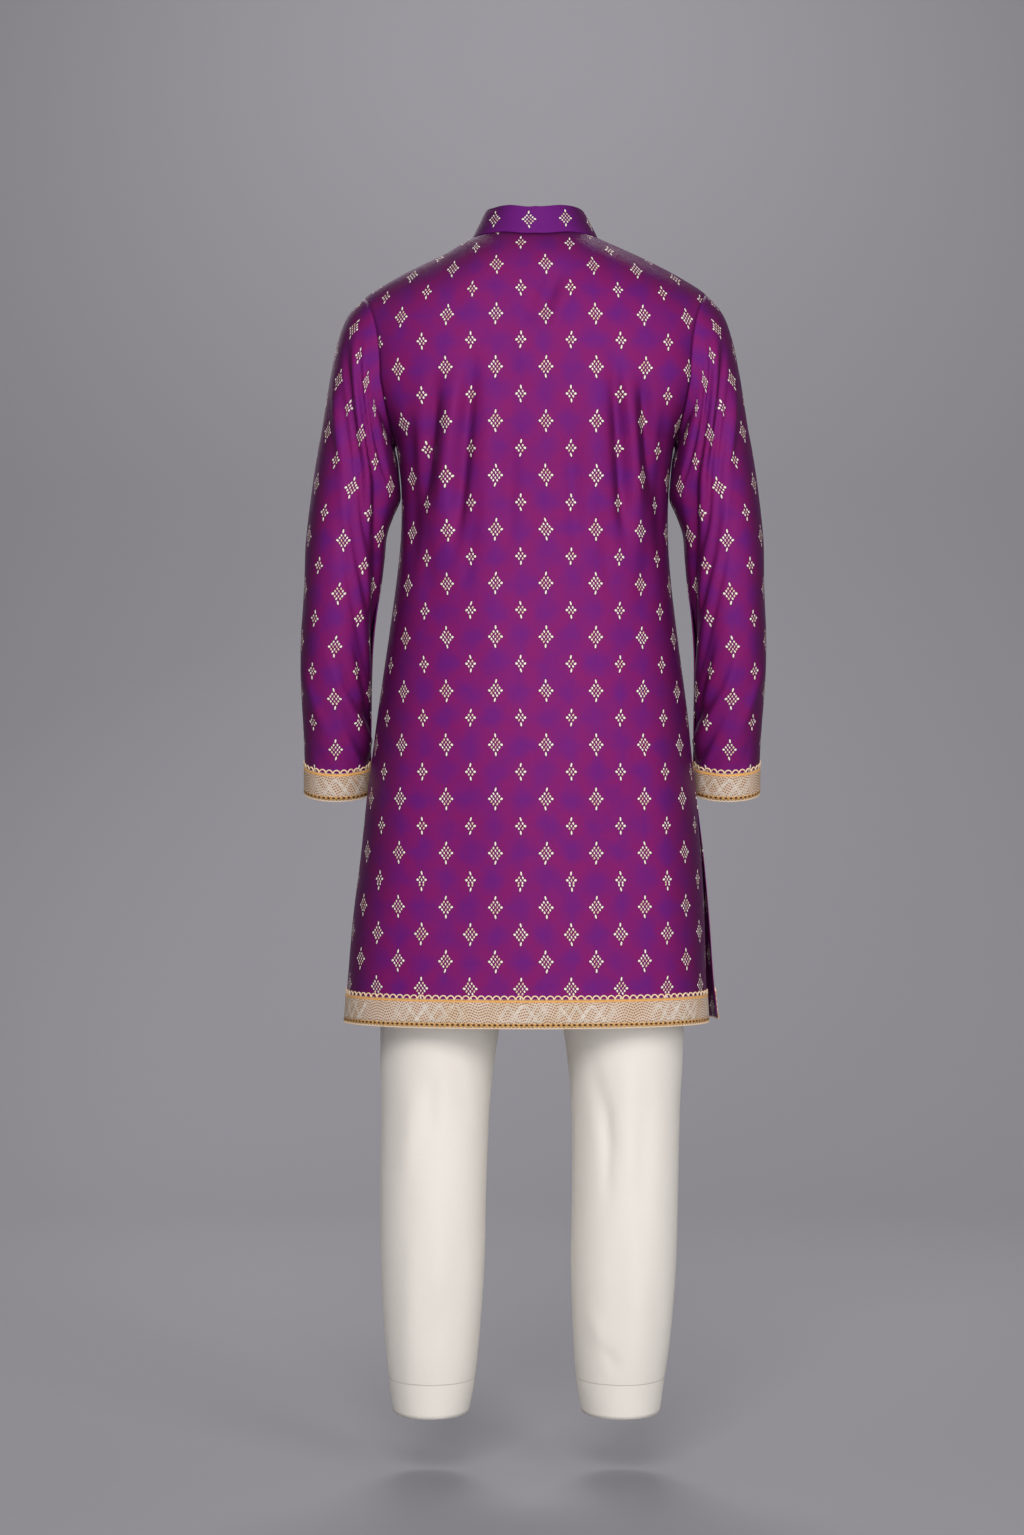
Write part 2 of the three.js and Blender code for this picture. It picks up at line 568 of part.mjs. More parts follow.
// Front placket: a strip from the neck down the middle of the front, closed with brass buttons
function placketRows(rows) {
  const used = rows.filter((row) => row[halfColumns].z > placket.bottomZ);
  return used.map((row) => {
    const centre = row[halfColumns];
    const toward = (next) => {
      const share = placket.halfWidth / Math.abs(next.x - centre.x);
      return centre.clone().lerp(next, share);
    };
    return [toward(row[halfColumns - 1]), centre.clone(), toward(row[halfColumns + 1])];
  });
}
addTrim("placket", front, purple, placketRows);

// A button's profile as shares of its radius and of its height.
const buttonProfile = [
  { out: 0, up: 0 },
  { out: 0.86, up: 0 },
  { out: 1, up: 0.35 },
  { out: 0.92, up: 0.75 },
  { out: 0.5, up: 1 },
  { out: 0, up: 1 },
];
const buttonSides = 16;

function buttonGeometry() {
  const profile = buttonProfile.map(
    (p) => new THREE.Vector2(button.radius * p.out, button.height * p.up),
  );
  return new THREE.LatheGeometry(profile, buttonSides).rotateX(Math.PI / 2);
}

function addButtons() {
  const lift = clothThickness / 2 + trimThickness + 2 * seamGap;
  const none = { low: 0, high: 0, start: 0, end: 0 };
  const line = offsetRows(front, lift, none).map((row) => row[halfColumns]).reverse();
  for (let b = 0; b < button.count; b++) {
    const z = line[0].z - button.firstDrop - b * button.spacing;
    const k = line.findIndex((p) => p.z < z);
    const share = (line[k - 1].z - z) / (line[k - 1].z - line[k].z);
    const slope = line[k - 1].clone().sub(line[k]).normalize();
    const outward = new THREE.Vector3(1, 0, 0).cross(slope).normalize();
    const mesh = addMesh(`button_${b + 1}`, buttonGeometry(), brass);
    mesh.position.copy(line[k - 1].clone().lerp(line[k], share));
    mesh.quaternion.setFromUnitVectors(new THREE.Vector3(0, 0, 1), outward);
  }
}
addButtons();

// Trousers: a back and a front panel for each leg, and a waistband round the top
function trouserRow(z, side, face) {
  const at = (name) => read(trouserLevels, "z", name, z);
  const out = at(side > 0 ? "leftOut" : "rightOut");
  const inner = z >= crotchZ ? 0 : at(side > 0 ? "leftIn" : "rightIn");
  const sweep = THREE.MathUtils.degToRad(z < crotchZ ? 180 : at("sweep"));
  const radius = (out - inner) / (1 - Math.cos(sweep));
  const depth = face === "back" ? at("back") : -at("front");
  return Array.from({ length: legColumns + 1 }, (_, j) => {
    const angle = (sweep * j) / legColumns;
    const x = j === legColumns ? inner : out - radius + radius * Math.cos(angle);
    const y = z < crotchZ && j === legColumns ? at("y") : at("y") + depth * Math.sin(angle);
    return new THREE.Vector3(side * x, y, z);
  });
}

const trouserHeights = trouserLevels.map((level) => level.z).filter((z) => z <= waist.seamZ);
const legPanel = (side, face) => {
  const rows = trouserHeights.map((z) => trouserRow(z, side, face));
  return makePanel(rows, face === "back" ? side : -side);
};
const legs = {
  trouser_left_back: legPanel(1, "back"),
  trouser_left_front: legPanel(1, "front"),
  trouser_right_back: legPanel(-1, "back"),
  trouser_right_front: legPanel(-1, "front"),
};

function waistRow(z) {
  const quarter = (side, face) => trouserRow(z, side, face);
  return [
    ...quarter(1, "back").slice(0, -1),
    ...quarter(-1, "back").reverse().slice(0, -1),
    ...quarter(-1, "front").slice(0, -1),
    ...quarter(1, "front").reverse().slice(0, -1),
  ];
}
const waistband = makePanel([waistRow(waist.seamZ), waistRow(waist.topZ)], 1, true);
weldNormals([Object.values(legs), [waistband]]);
for (const [name, panel] of Object.entries(legs)) addCloth(name, panel, cream);
addCloth("waistband", waistband, cream, waistbandThickness);

export default group;
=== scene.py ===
from math import pi, radians

import bpy
import numpy as np
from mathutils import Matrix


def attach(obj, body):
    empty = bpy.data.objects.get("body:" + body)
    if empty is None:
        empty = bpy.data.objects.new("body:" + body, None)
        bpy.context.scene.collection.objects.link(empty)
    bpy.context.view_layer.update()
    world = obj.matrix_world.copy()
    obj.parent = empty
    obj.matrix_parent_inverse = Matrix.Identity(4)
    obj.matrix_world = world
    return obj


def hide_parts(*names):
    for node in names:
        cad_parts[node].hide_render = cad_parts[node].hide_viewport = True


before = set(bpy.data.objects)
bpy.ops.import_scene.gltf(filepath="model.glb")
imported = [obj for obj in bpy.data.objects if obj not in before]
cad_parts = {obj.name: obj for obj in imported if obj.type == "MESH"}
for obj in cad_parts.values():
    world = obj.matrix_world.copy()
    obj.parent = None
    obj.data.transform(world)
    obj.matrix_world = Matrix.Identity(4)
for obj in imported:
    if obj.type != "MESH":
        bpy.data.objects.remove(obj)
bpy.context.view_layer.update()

# The view and the studio.
# A level camera 3.8 m behind the garment, a long lens, a pale seamless sweep and soft lights.
camera_distance = 3.8
camera_aim = (0.0291, -0.6673)
camera_lens = 70.45
floor_level = -1.557

camera = bpy.data.objects.new("camera", bpy.data.cameras.new("camera"))
camera.location = (camera_aim[0], camera_distance, camera_aim[1])
camera.rotation_euler = (pi / 2, 0, pi)
camera.data.lens = camera_lens
camera.data.sensor_width = 36
bpy.context.collection.objects.link(camera)
bpy.context.scene.camera = camera
bpy.context.scene.view_settings.view_transform = "Standard"


def grid_mesh(name, points, closed=False):
    """A mesh of quads over a grid of points, rows by columns; closed joins the last column to the
    first one. Corner n of the quad at (i, j) is (i, j), (i, j + 1), (i + 1, j + 1), (i + 1, j)."""
    rows, columns = points.shape[:2]
    index = np.arange(rows * columns).reshape(rows, columns)
    if closed:
        index = np.concatenate([index, index[:, :1]], axis=1)
    quads = np.stack([index[:-1, :-1], index[:-1, 1:], index[1:, 1:], index[1:, :-1]], axis=-1)
    mesh = bpy.data.meshes.new(name)
    mesh.from_pydata(points.reshape(-1, 3), [], quads.reshape(-1, 4))
    mesh.polygons.foreach_set("use_smooth", np.ones(len(mesh.polygons), dtype=bool))
    piece = bpy.data.objects.new(name, mesh)
    bpy.context.collection.objects.link(piece)
    return piece


def sweep_backdrop():
    """A floor that turns up into a wall: a quarter circle joins the two, along y and z."""
    turn = np.linspace(0, pi / 2, 17)
    reach, radius, height, half_width = 2.2, 1.6, 4.5, 7
    y = np.concatenate([[6], -reach - radius * np.sin(turn), [-reach - radius]])
    z = np.concatenate([[0], radius * (1 - np.cos(turn)), [height]]) + floor_level
    x = np.linspace(-half_width, half_width, 2)
    points = np.stack(np.broadcast_arrays(x[:, None], y[None], z[None]), axis=-1)
    return grid_mesh("backdrop", points)


backdrop = sweep_backdrop()
backdrop_paint = bpy.data.materials.new("backdrop_paint")
backdrop_paint.use_nodes = True
backdrop_shader = backdrop_paint.node_tree.nodes["Principled BSDF"]
backdrop_shader.inputs["Base Color"].default_value = (0.282, 0.273, 0.292, 1)
backdrop_shader.inputs["Roughness"].default_value = 0.95
# From behind the wall is clear, so that it never stands between an eye and the front of the garment.
wall_side = backdrop_paint.node_tree.nodes.new("ShaderNodeNewGeometry").outputs["Backfacing"]
wall_shown = backdrop_paint.node_tree.nodes.new("ShaderNodeMath")
wall_shown.operation = "SUBTRACT"
wall_shown.inputs[0].default_value = 1
backdrop_paint.node_tree.links.new(wall_side, wall_shown.inputs[1])
backdrop_paint.node_tree.links.new(wall_shown.outputs[0], backdrop_shader.inputs["Alpha"])
backdrop.data.materials.append(backdrop_paint)

soft_lights = {
    # name: place, aim, size across and up, watts. The pool lights the floor from straight above.
    "key": ((0.35, 3.9, 1.5), (0, 0, -0.6), (1.9, 1.6), 108),
    "fill": ((-2.4, 3.4, 0.3), (0, 0, -0.7), (1.6, 2.2), 60),
    "front": ((1.0, -3.0, 0.9), (0, 0, -0.7), (2.0, 1.6), 14),
    "glow": ((0.0, -1.9, 1.9), (0, -3.1, -2.0), (1.2, 0.8), 46),
    "pool": ((0.0, -1.2, 0.0), (0, -1.2001, -2.0), (1.0, 0.8), 4.5),
    "low": ((0.0, 3.4, -1.05), (0, 0, -1.1), (2.6, 0.6), 34),
}
for light_name, (place, aim, size, watts) in soft_lights.items():
    lamp = bpy.data.lights.new(light_name, "AREA")
    lamp.shape = "RECTANGLE"
    lamp.size, lamp.size_y = size
    lamp.energy = watts
    light = bpy.data.objects.new(light_name, lamp)
    light.location = place
    light.visible_camera = False
    away = light.location - type(light.location)(aim)
    light.rotation_euler = away.to_track_quat("Z", "Y").to_euler()
    bpy.context.collection.objects.link(light)
world = bpy.data.worlds.new("studio")
bpy.context.scene.world = world
world.use_nodes = True
world.node_tree.nodes["Background"].inputs["Color"].default_value = (0.9, 0.92, 1, 1)
world.node_tree.nodes["Background"].inputs["Strength"].default_value = 0.24


# Kurta, back and front panels.
# Each is one length of changeable silk blend, purple shot with magenta, sewn at the shoulders and
# down the sides to the slits. It hangs from the shoulders and the back, in soft long folds.
mm = 0.001
hem_z = -985
slit_top_z = -640
underarm_y = -4
neck_half_width = 79
neck_depth = {"back": 62, "front": 86}
shoulder_half_width = 216
left_shoulder_drop = 5
round_over = {"back": 0.87, "front": 0.95}
slit_spread = {"middle": -6.4, "half": 7.3, "seam_y": -21}
half_columns = 12
neck_column = 5
yoke_rows = 7
body_levels = {
    "z": [-985, -930, -860, -780, -700, -640, -600, -540, -480, -420, -370, -320, -290, -258, -180],
    "middle": [10.8, 10.2, 8.1, 5.2, 4.6, 3.6, 3.0, 2.6, 2.2, 1.5, 0.6, 0, 0, 0, 0],
    "half": [228.5, 225.2, 221.5, 214.6, 206.8, 200, 195.5, 187.2, 179, 171.8, 168.2, 168.4, 171, 176, 193],
    "seam_y": [9, 7, 4, 1, -1, -3, -4, -4, -4, -4, -4, -4, -4, -4, 0],
    "back": [129, 128, 127, 126, 125, 123, 120, 113, 106, 102, 101, 103, 105, 107, 110],
    "front": [-127, -125, -122, -118, -114, -112, -111, -109, -108, -110, -113, -117, -119, -120, -118],
    "square": [2.3, 2.3, 2.3, 2.3, 2.3, 2.3, 2.3, 2.3, 2.3, 2.3, 2.4, 2.55, 2.7, 2.85, 2.85],
}
body_heights = [-985, -951, -895, -835, -770, -705, -640, -595, -550, -505, -465, -425, -390, -355, -322,
                -290, -258]
armhole_edge = {
    "back": {"x": [176, 178, 181, 185, 189, 193], "y": [-4, 18, 38, 53, 63, 68],
             "z": [-258, -252, -240, -223, -203, -180]},
    "front": {"x": [176, 173.5, 171, 169.5, 169.5, 171], "y": [-4, -24, -42, -56, -65, -70],
              "z": [-258, -251, -239, -225, -208, -190]},
}
ridge = {
    "x": [0, 40, 79, 124, 166, 202, 216],
    "back": [24, 18.5, 0, -20, -40.5, -61, -71],
    "front": [-16, -10, 0, -20, -40.5, -61, -71],
}
# Long folds: from (x, z) to (x, z), the width of the fold and how far it stands out or sinks in.
body_folds = {
    "back": [
        (77, -165, 100, -400, 9, -10.5), (52, -190, 72, -400, 15, 3.5), (98, -185, 118, -365, 10, 5.5),
        (121, -180, 141, -345, 9, -10), (-96, -165, -113, -390, 9, -10.5), (-70, -185, -84, -400, 15, 3.5),
        (-112, -185, -128, -360, 10, 5.5), (-131, -180, -148, -335, 9, -10), (-30, -45, 4, -125, 11, -5.5),
        (-158, -215, -158, -420, 9, -5), (156, -215, 153, -430, 9, -5), (-40, -230, -52, -420, 9, -3),
        (28, -240, 34, -400, 9, -2.6),
        (-48, -60, -16, -140, 9, 2.5), (24, -90, 10, -190, 9, 1.6), (96, -230, 104, -320, 4, -1.4),
        (-104, -225, -112, -300, 4, -1.4), (66, -300, 88, -450, 8, -2.2), (-74, -300, -92, -455, 8, -2.2),
        (150, -300, 128, -470, 12, -2.2), (-150, -300, -132, -480, 12, -2.2), (60, -420, 40, -600, 26, 1.5),
        (-58, -430, -46, -610, 26, -1.5), (150, -560, 172, -900, 24, 2), (-140, -590, -170, -930, 26, 2.2),
        (96, -640, 104, -930, 30, -2), (-86, -650, -92, -940, 30, -1.8), (10, -660, 14, -950, 34, 1.6),
    ],
    "front": [
        (118, -190, 66, -430, 17, -4), (-120, -185, -72, -450, 17, -4), (140, -260, 120, -520, 17, 3.5),
        (-136, -270, -118, -500, 17, 3.5), (96, -210, 60, -360, 7, -1.4), (-98, -220, -62, -370, 7, -1.3),
        (60, -560, 74, -900, 28, -2), (-70, -590, -86, -930, 28, 2), (130, -620, 150, -940, 26, 2),
        (-134, -610, -158, -900, 26, -2), (4, -560, -8, -930, 32, 1.6),
    ],
}


def curve(keys, values, at):
    """The smooth curve through a table: between two keys it is the cubic whose slope at each key is
    that of the line from the key before to the key after."""
    keys, values, at = (np.asarray(a, float) for a in (keys, values, at))
    last = len(keys) - 1
    before = np.maximum(np.arange(last + 1) - 1, 0)
    after = np.minimum(np.arange(last + 1) + 1, last)
    slope = (values[after] - values[before]) / (keys[after] - keys[before])
    i = np.clip(np.searchsorted(keys, at), 1, last)
    span = keys[i] - keys[i - 1]
    t = np.clip((at - keys[i - 1]) / span, 0, 1)
    ease = t * t * (3 - 2 * t)
    sway = t * (1 - t) ** 2 * span * slope[i - 1] + t * t * (t - 1) * span * slope[i]
    return values[i - 1] + (values[i] - values[i - 1]) * ease + sway


def smooth(t):
    """0 to 1 along an S curve, flat at both ends."""
    t = np.clip(t, 0, 1)
    return t * t * (3 - 2 * t)


def fold_lift(folds, a, b):
    """The sum of soft ridges and troughs at (a, b). Each is a bell across its line and fades
    towards its two ends as exp(-((t - 0.5) / 0.42)^4), t running from 0 to 1 along the line."""
    lift = np.zeros(np.broadcast(a, b).shape)
    for from_a, from_b, to_a, to_b, width, height in folds:
        da, db = to_a - from_a, to_b - from_b
        length = np.hypot(da, db)
        along = ((a - from_a) * da + (b - from_b) * db) / length**2
        across = ((a - from_a) * db - (b - from_b) * da) / length
        lift += height * np.exp(-(((along - 0.5) / 0.42) ** 4)) * np.exp(-((across / width) ** 2))
    return lift


def grid_normals(points, closed=False):
    """Unit normal at each point of a grid: the cross product of the steps across and up."""
    wide = np.concatenate([points[:, -1:], points, points[:, :1]], axis=1) if closed else points
    across = np.gradient(wide, axis=1)
    across = across[:, 1:-1] if closed else across
    normal = np.cross(across, np.gradient(points, axis=0))
    return normal / np.maximum(np.linalg.norm(normal, axis=-1, keepdims=True), 1e-9)


def lengths_along(points, axis):
    """Distance walked along each row (axis 1) or column (axis 0) of a grid, from its first point."""
    step = np.linalg.norm(np.diff(points, axis=axis), axis=-1)
    walked = np.cumsum(step, axis=axis)
    return np.concatenate([np.zeros_like(np.take(walked, [0], axis)), walked], axis)


def levels_of(face, steps):
    """Columns of numbers for each level of one face, from the hem to the chest: the body's table at
    each height, then the armhole's edge, each interval cut into a number of steps."""
    last = len(body_heights) - 1
    z = np.interp(np.arange(0, last, 1 / steps), np.arange(last + 1), body_heights)
    spread = np.clip((slit_top_z - z) / (slit_top_z - hem_z), 0, None) ** 1.4 if face == "front" else 0 * z
    read = {name: curve(body_levels["z"], body_levels[name], z) for name in body_levels}
    below = {
        "z": z,
        "middle": read["middle"] + slit_spread["middle"] * spread,
        "half": read["half"] + slit_spread["half"] * spread,
        "seam_y": read["seam_y"] + slit_spread["seam_y"] * spread,
        "depth": read[face],
        "square": read["square"],
    }
    below["edge_y"] = below["seam_y"]
    edge = armhole_edge[face]
    place = np.linspace(0, 5, 5 * steps + 1)
    edge_x, edge_y, edge_z = (curve(np.arange(6), edge[k], place) for k in "xyz")
    beside = {
        "z": edge_z,
        "middle": 0 * edge_z,
        "half": edge_x,
        "seam_y": underarm_y * (1 - place / 5),
        "edge_y": edge_y,
        "depth": curve(body_levels["z"], body_levels[face], edge_z),
        "square": curve(body_levels["z"], body_levels["square"], edge_z),
    }
    return {k: np.concatenate([below[k], beside[k]])[:, None] for k in below}


def face_points(face, columns, steps):
    """One face of the body, hem to top by -x to +x. A level is one side of a superellipse cut off at
    the armhole; above the chest each column rounds over, as cos and sin to a power, to the shoulder
    seam or the neck."""
    level = levels_of(face, steps)
    out = level["depth"] - level["seam_y"]
    reach = np.clip((level["edge_y"] - level["seam_y"]) / out, 0, None)
    span = (1 - reach ** level["square"]) ** (1 / level["square"])
    share = np.sin(columns / half_columns * np.arcsin(span))
    bulge = np.clip(1 - np.abs(share) ** level["square"], 0, None) ** (1 / level["square"])
    x = level["middle"] + level["half"] / span * share
    y = level["seam_y"] + out * bulge
    z = np.broadcast_to(level["z"], x.shape)
    step = np.abs(columns)
    beyond = shoulder_half_width - neck_half_width
    top_x = np.where(
        step <= neck_column,
        neck_half_width * np.sin(pi / 2 * np.minimum(step / neck_column, 1)),
        neck_half_width + beyond * (step - neck_column) / (half_columns - neck_column),
    )
    up = (np.arange(1, yoke_rows * steps + 1) / (yoke_rows * steps))[:, None]
    base_x, base_y, chest_z = x[-1], y[-1], z[-1]
    yoke_x = base_x + (np.sign(columns) * top_x - base_x) * smooth(up)
    neck_y = neck_depth[face] * np.sqrt(np.clip(1 - (top_x / neck_half_width) ** 2, 0, None))
    power = round_over[face]
    angle = up * np.arccos((neck_y / np.abs(base_y)) ** (1 / power))
    yoke_y = base_y * np.cos(angle) ** power
    top_z = curve(ridge["x"], ridge[face], np.abs(yoke_x))
    top_z = top_z - left_shoulder_drop * smooth((yoke_x - neck_half_width) / 40)
    yoke_z = chest_z + (top_z - chest_z) * np.sin(angle) ** power
    rows = [np.stack([x, y, z], axis=-1), np.stack([yoke_x, yoke_y, yoke_z], axis=-1)]
    return np.concatenate(rows)


def seam_dip(away, depth=0.7, reach=2.2):
    """How far the cloth sinks into its stitching: depth * exp(-(away / reach)^2)."""
    return depth * np.exp(-((away / reach) ** 2))


def press_body_folds(points, face, columns, steps, outward):
    """Lifts the folds along the normal. They die out over three columns and rows at the seams,
    where the cloth also dips by 0.7 mm into the stitching."""
    rows = len(points)
    from_side = (half_columns - np.abs(columns)) / 3
    from_top = ((rows - 1 - np.arange(rows)) / steps / 3)[:, None]
    fade = smooth(from_side) * smooth(from_top)
    lift = fold_lift(body_folds[face], points[..., 0], points[..., 2]) * fade
    walked = lengths_along(points, 1)
    from_edge = np.minimum(walked, walked[:, -1:] - walked)
    far_off = 99
    from_edge = np.where(points[..., 2] > slit_top_z, from_edge, far_off)
    climbed = lengths_along(points, 0)
    from_edge = np.minimum(from_edge, climbed[-1:] - climbed)
    return points + (outward * grid_normals(points)) * (lift - seam_dip(from_edge))[..., None]


def put_cloth_map(piece, u, v):
    """Stores the cloth's own measure as a UV map: u across and v along the grain, in metres."""
    layer = piece.data.uv_layers.new(name="cloth")
    corner = np.empty(len(piece.data.loops), dtype=np.int32)
    piece.data.loops.foreach_get("vertex_index", corner)
    uv = np.stack([u.reshape(-1)[corner], v.reshape(-1)[corner]], axis=-1) * mm
    layer.data.foreach_set("uv", uv.reshape(-1).astype(np.float32))


def thicken(piece, thickness, offset=0.0):
    """Gives a sheet its thickness, about its points or to one side of them."""
    shell = piece.modifiers.new("thickness", "SOLIDIFY")
    shell.thickness = thickness * mm
    shell.offset = offset
    shell.use_even_offset = False


steps = 4
near_edge = [0.06, 0.14, 0.28]
inner_columns = np.arange(-half_columns, half_columns + 0.01, 1 / steps)
body_columns = np.unique(np.round([*inner_columns, *(half_columns - np.array(near_edge)),
                                   *(np.array(near_edge) - half_columns)], 4))
motif_centre_x = -12.6
motif_centre_z = 24.6
column_step = 31.0
row_step = 33.2
yoke_z = -185
body_points, body_pieces = {}, {}
# Each panel: its points pressed into folds, a cloth map in its own measure and a thickness of 1 mm.
for face in ("back", "front"):
    outward = -1 if face == "back" else 1
    plain = face_points(face, body_columns, steps)
    pressed = press_body_folds(plain, face, body_columns, steps, outward)
    body_points[face] = pressed
    order = pressed if face == "front" else pressed[:, ::-1]
    piece = grid_mesh(f"kurta_{face}_cloth", order * mm)
    across = lengths_along(plain, 1)
    middle = np.argmin(np.abs(plain[:, :, 0]), axis=1)[:, None]
    u = across - np.take_along_axis(across, middle, 1) + np.take_along_axis(plain[..., 0], middle, 1)
    climbed = lengths_along(plain, 0)
    chest = np.argmax(plain[:, 0, 2] >= yoke_z)
    above = plain[chest, :, 2] + climbed - climbed[chest]
    v = np.where(np.arange(len(plain))[:, None] < chest, plain[..., 2], above)
    u = u - motif_centre_x
    v = v - motif_centre_z
    put_cloth_map(piece, u if face == "front" else u[:, ::-1], v if face == "front" else v[:, ::-1])
    thicken(piece, 1.0)
    body_pieces[face] = piece


# Silk: a shader group for the woven ground and one for the small woven motifs in it.
# The ground is shot silk, blue violet between the motifs of a column and magenta on the diagonals,
# and each motif is a diamond of satin-stitched drops in cream and gold.
class Nodes:
    """Short words for adding nodes to one tree."""

    def __init__(self, tree):
        self.tree = tree

    def add(self, kind, **settings):
        node = self.tree.nodes.new(kind)
        for key, value in settings.items():
            setattr(node, key, value)
        return node

    def fill(self, socket, value):
        if isinstance(value, bpy.types.NodeSocket):
            self.tree.links.new(value, socket)
        elif value is not None:
            socket.default_value = value

    def math(self, operation, a, b=None, c=None, clamp=False):
        node = self.add("ShaderNodeMath", operation=operation, use_clamp=clamp)
        for socket, value in zip(node.inputs, (a, b, c)):
            self.fill(socket, value)
        return node.outputs[0]

    def plus(self, a, b):
        return self.math("ADD", a, b)

    def minus(self, a, b, clamp=False):
        return self.math("SUBTRACT", a, b, clamp=clamp)

    def times(self, a, b):
        return self.math("MULTIPLY", a, b)

    def times_plus(self, a, b, c, clamp=False):
        return self.math("MULTIPLY_ADD", a, b, c, clamp)

    def over(self, a, b):
        return self.math("DIVIDE", a, b)

    def size(self, a):
        return self.math("ABSOLUTE", a)

    def larger(self, a, b):
        return self.math("MAXIMUM", a, b)

    def power(self, a, b):
        return self.math("POWER", a, b)

    def mix(self, share, a, b):
        node = self.add("ShaderNodeMix", data_type="RGBA")
        self.fill(node.inputs["Factor"], share)
        self.fill(node.inputs["A"], a)
        self.fill(node.inputs["B"], b)
        return node.outputs["Result"]

    def ramp(self, value, low, high, out_low=0.0, out_high=1.0):
        node = self.add("ShaderNodeMapRange", interpolation_type="SMOOTHSTEP")
        for socket, given in zip(node.inputs, (value, low, high, out_low, out_high)):
            self.fill(socket, given)
        return node.outputs[0]

    def noise(self, vector, scale, detail=2.0):
        node = self.add("ShaderNodeTexNoise", noise_dimensions="3D")
        self.fill(node.inputs["Vector"], vector)
        node.inputs["Scale"].default_value = scale
        node.inputs["Detail"].default_value = detail
        return node.outputs["Fac"]

    def split(self, vector):
        node = self.add("ShaderNodeSeparateXYZ")
        self.fill(node.inputs[0], vector)
        return node.outputs[0], node.outputs[1]

    def join(self, x, y, z=0.0):
        node = self.add("ShaderNodeCombineXYZ")
        for socket, value in zip(node.inputs, (x, y, z)):
            self.fill(socket, value)
        return node.outputs[0]


def new_group(name, inputs, outputs):
    """An empty shader group with its sockets, and its input and output nodes."""
    tree = bpy.data.node_groups.new(name, "ShaderNodeTree")
    for socket_name, kind, value in inputs:
        socket = tree.interface.new_socket(socket_name, in_out="INPUT", socket_type=kind)
        if value is not None:
            socket.default_value = value
    for socket_name, kind in outputs:
        tree.interface.new_socket(socket_name, in_out="OUTPUT", socket_type=kind)
    n = Nodes(tree)
    return n, n.add("NodeGroupInput").outputs, n.add("NodeGroupOutput").inputs


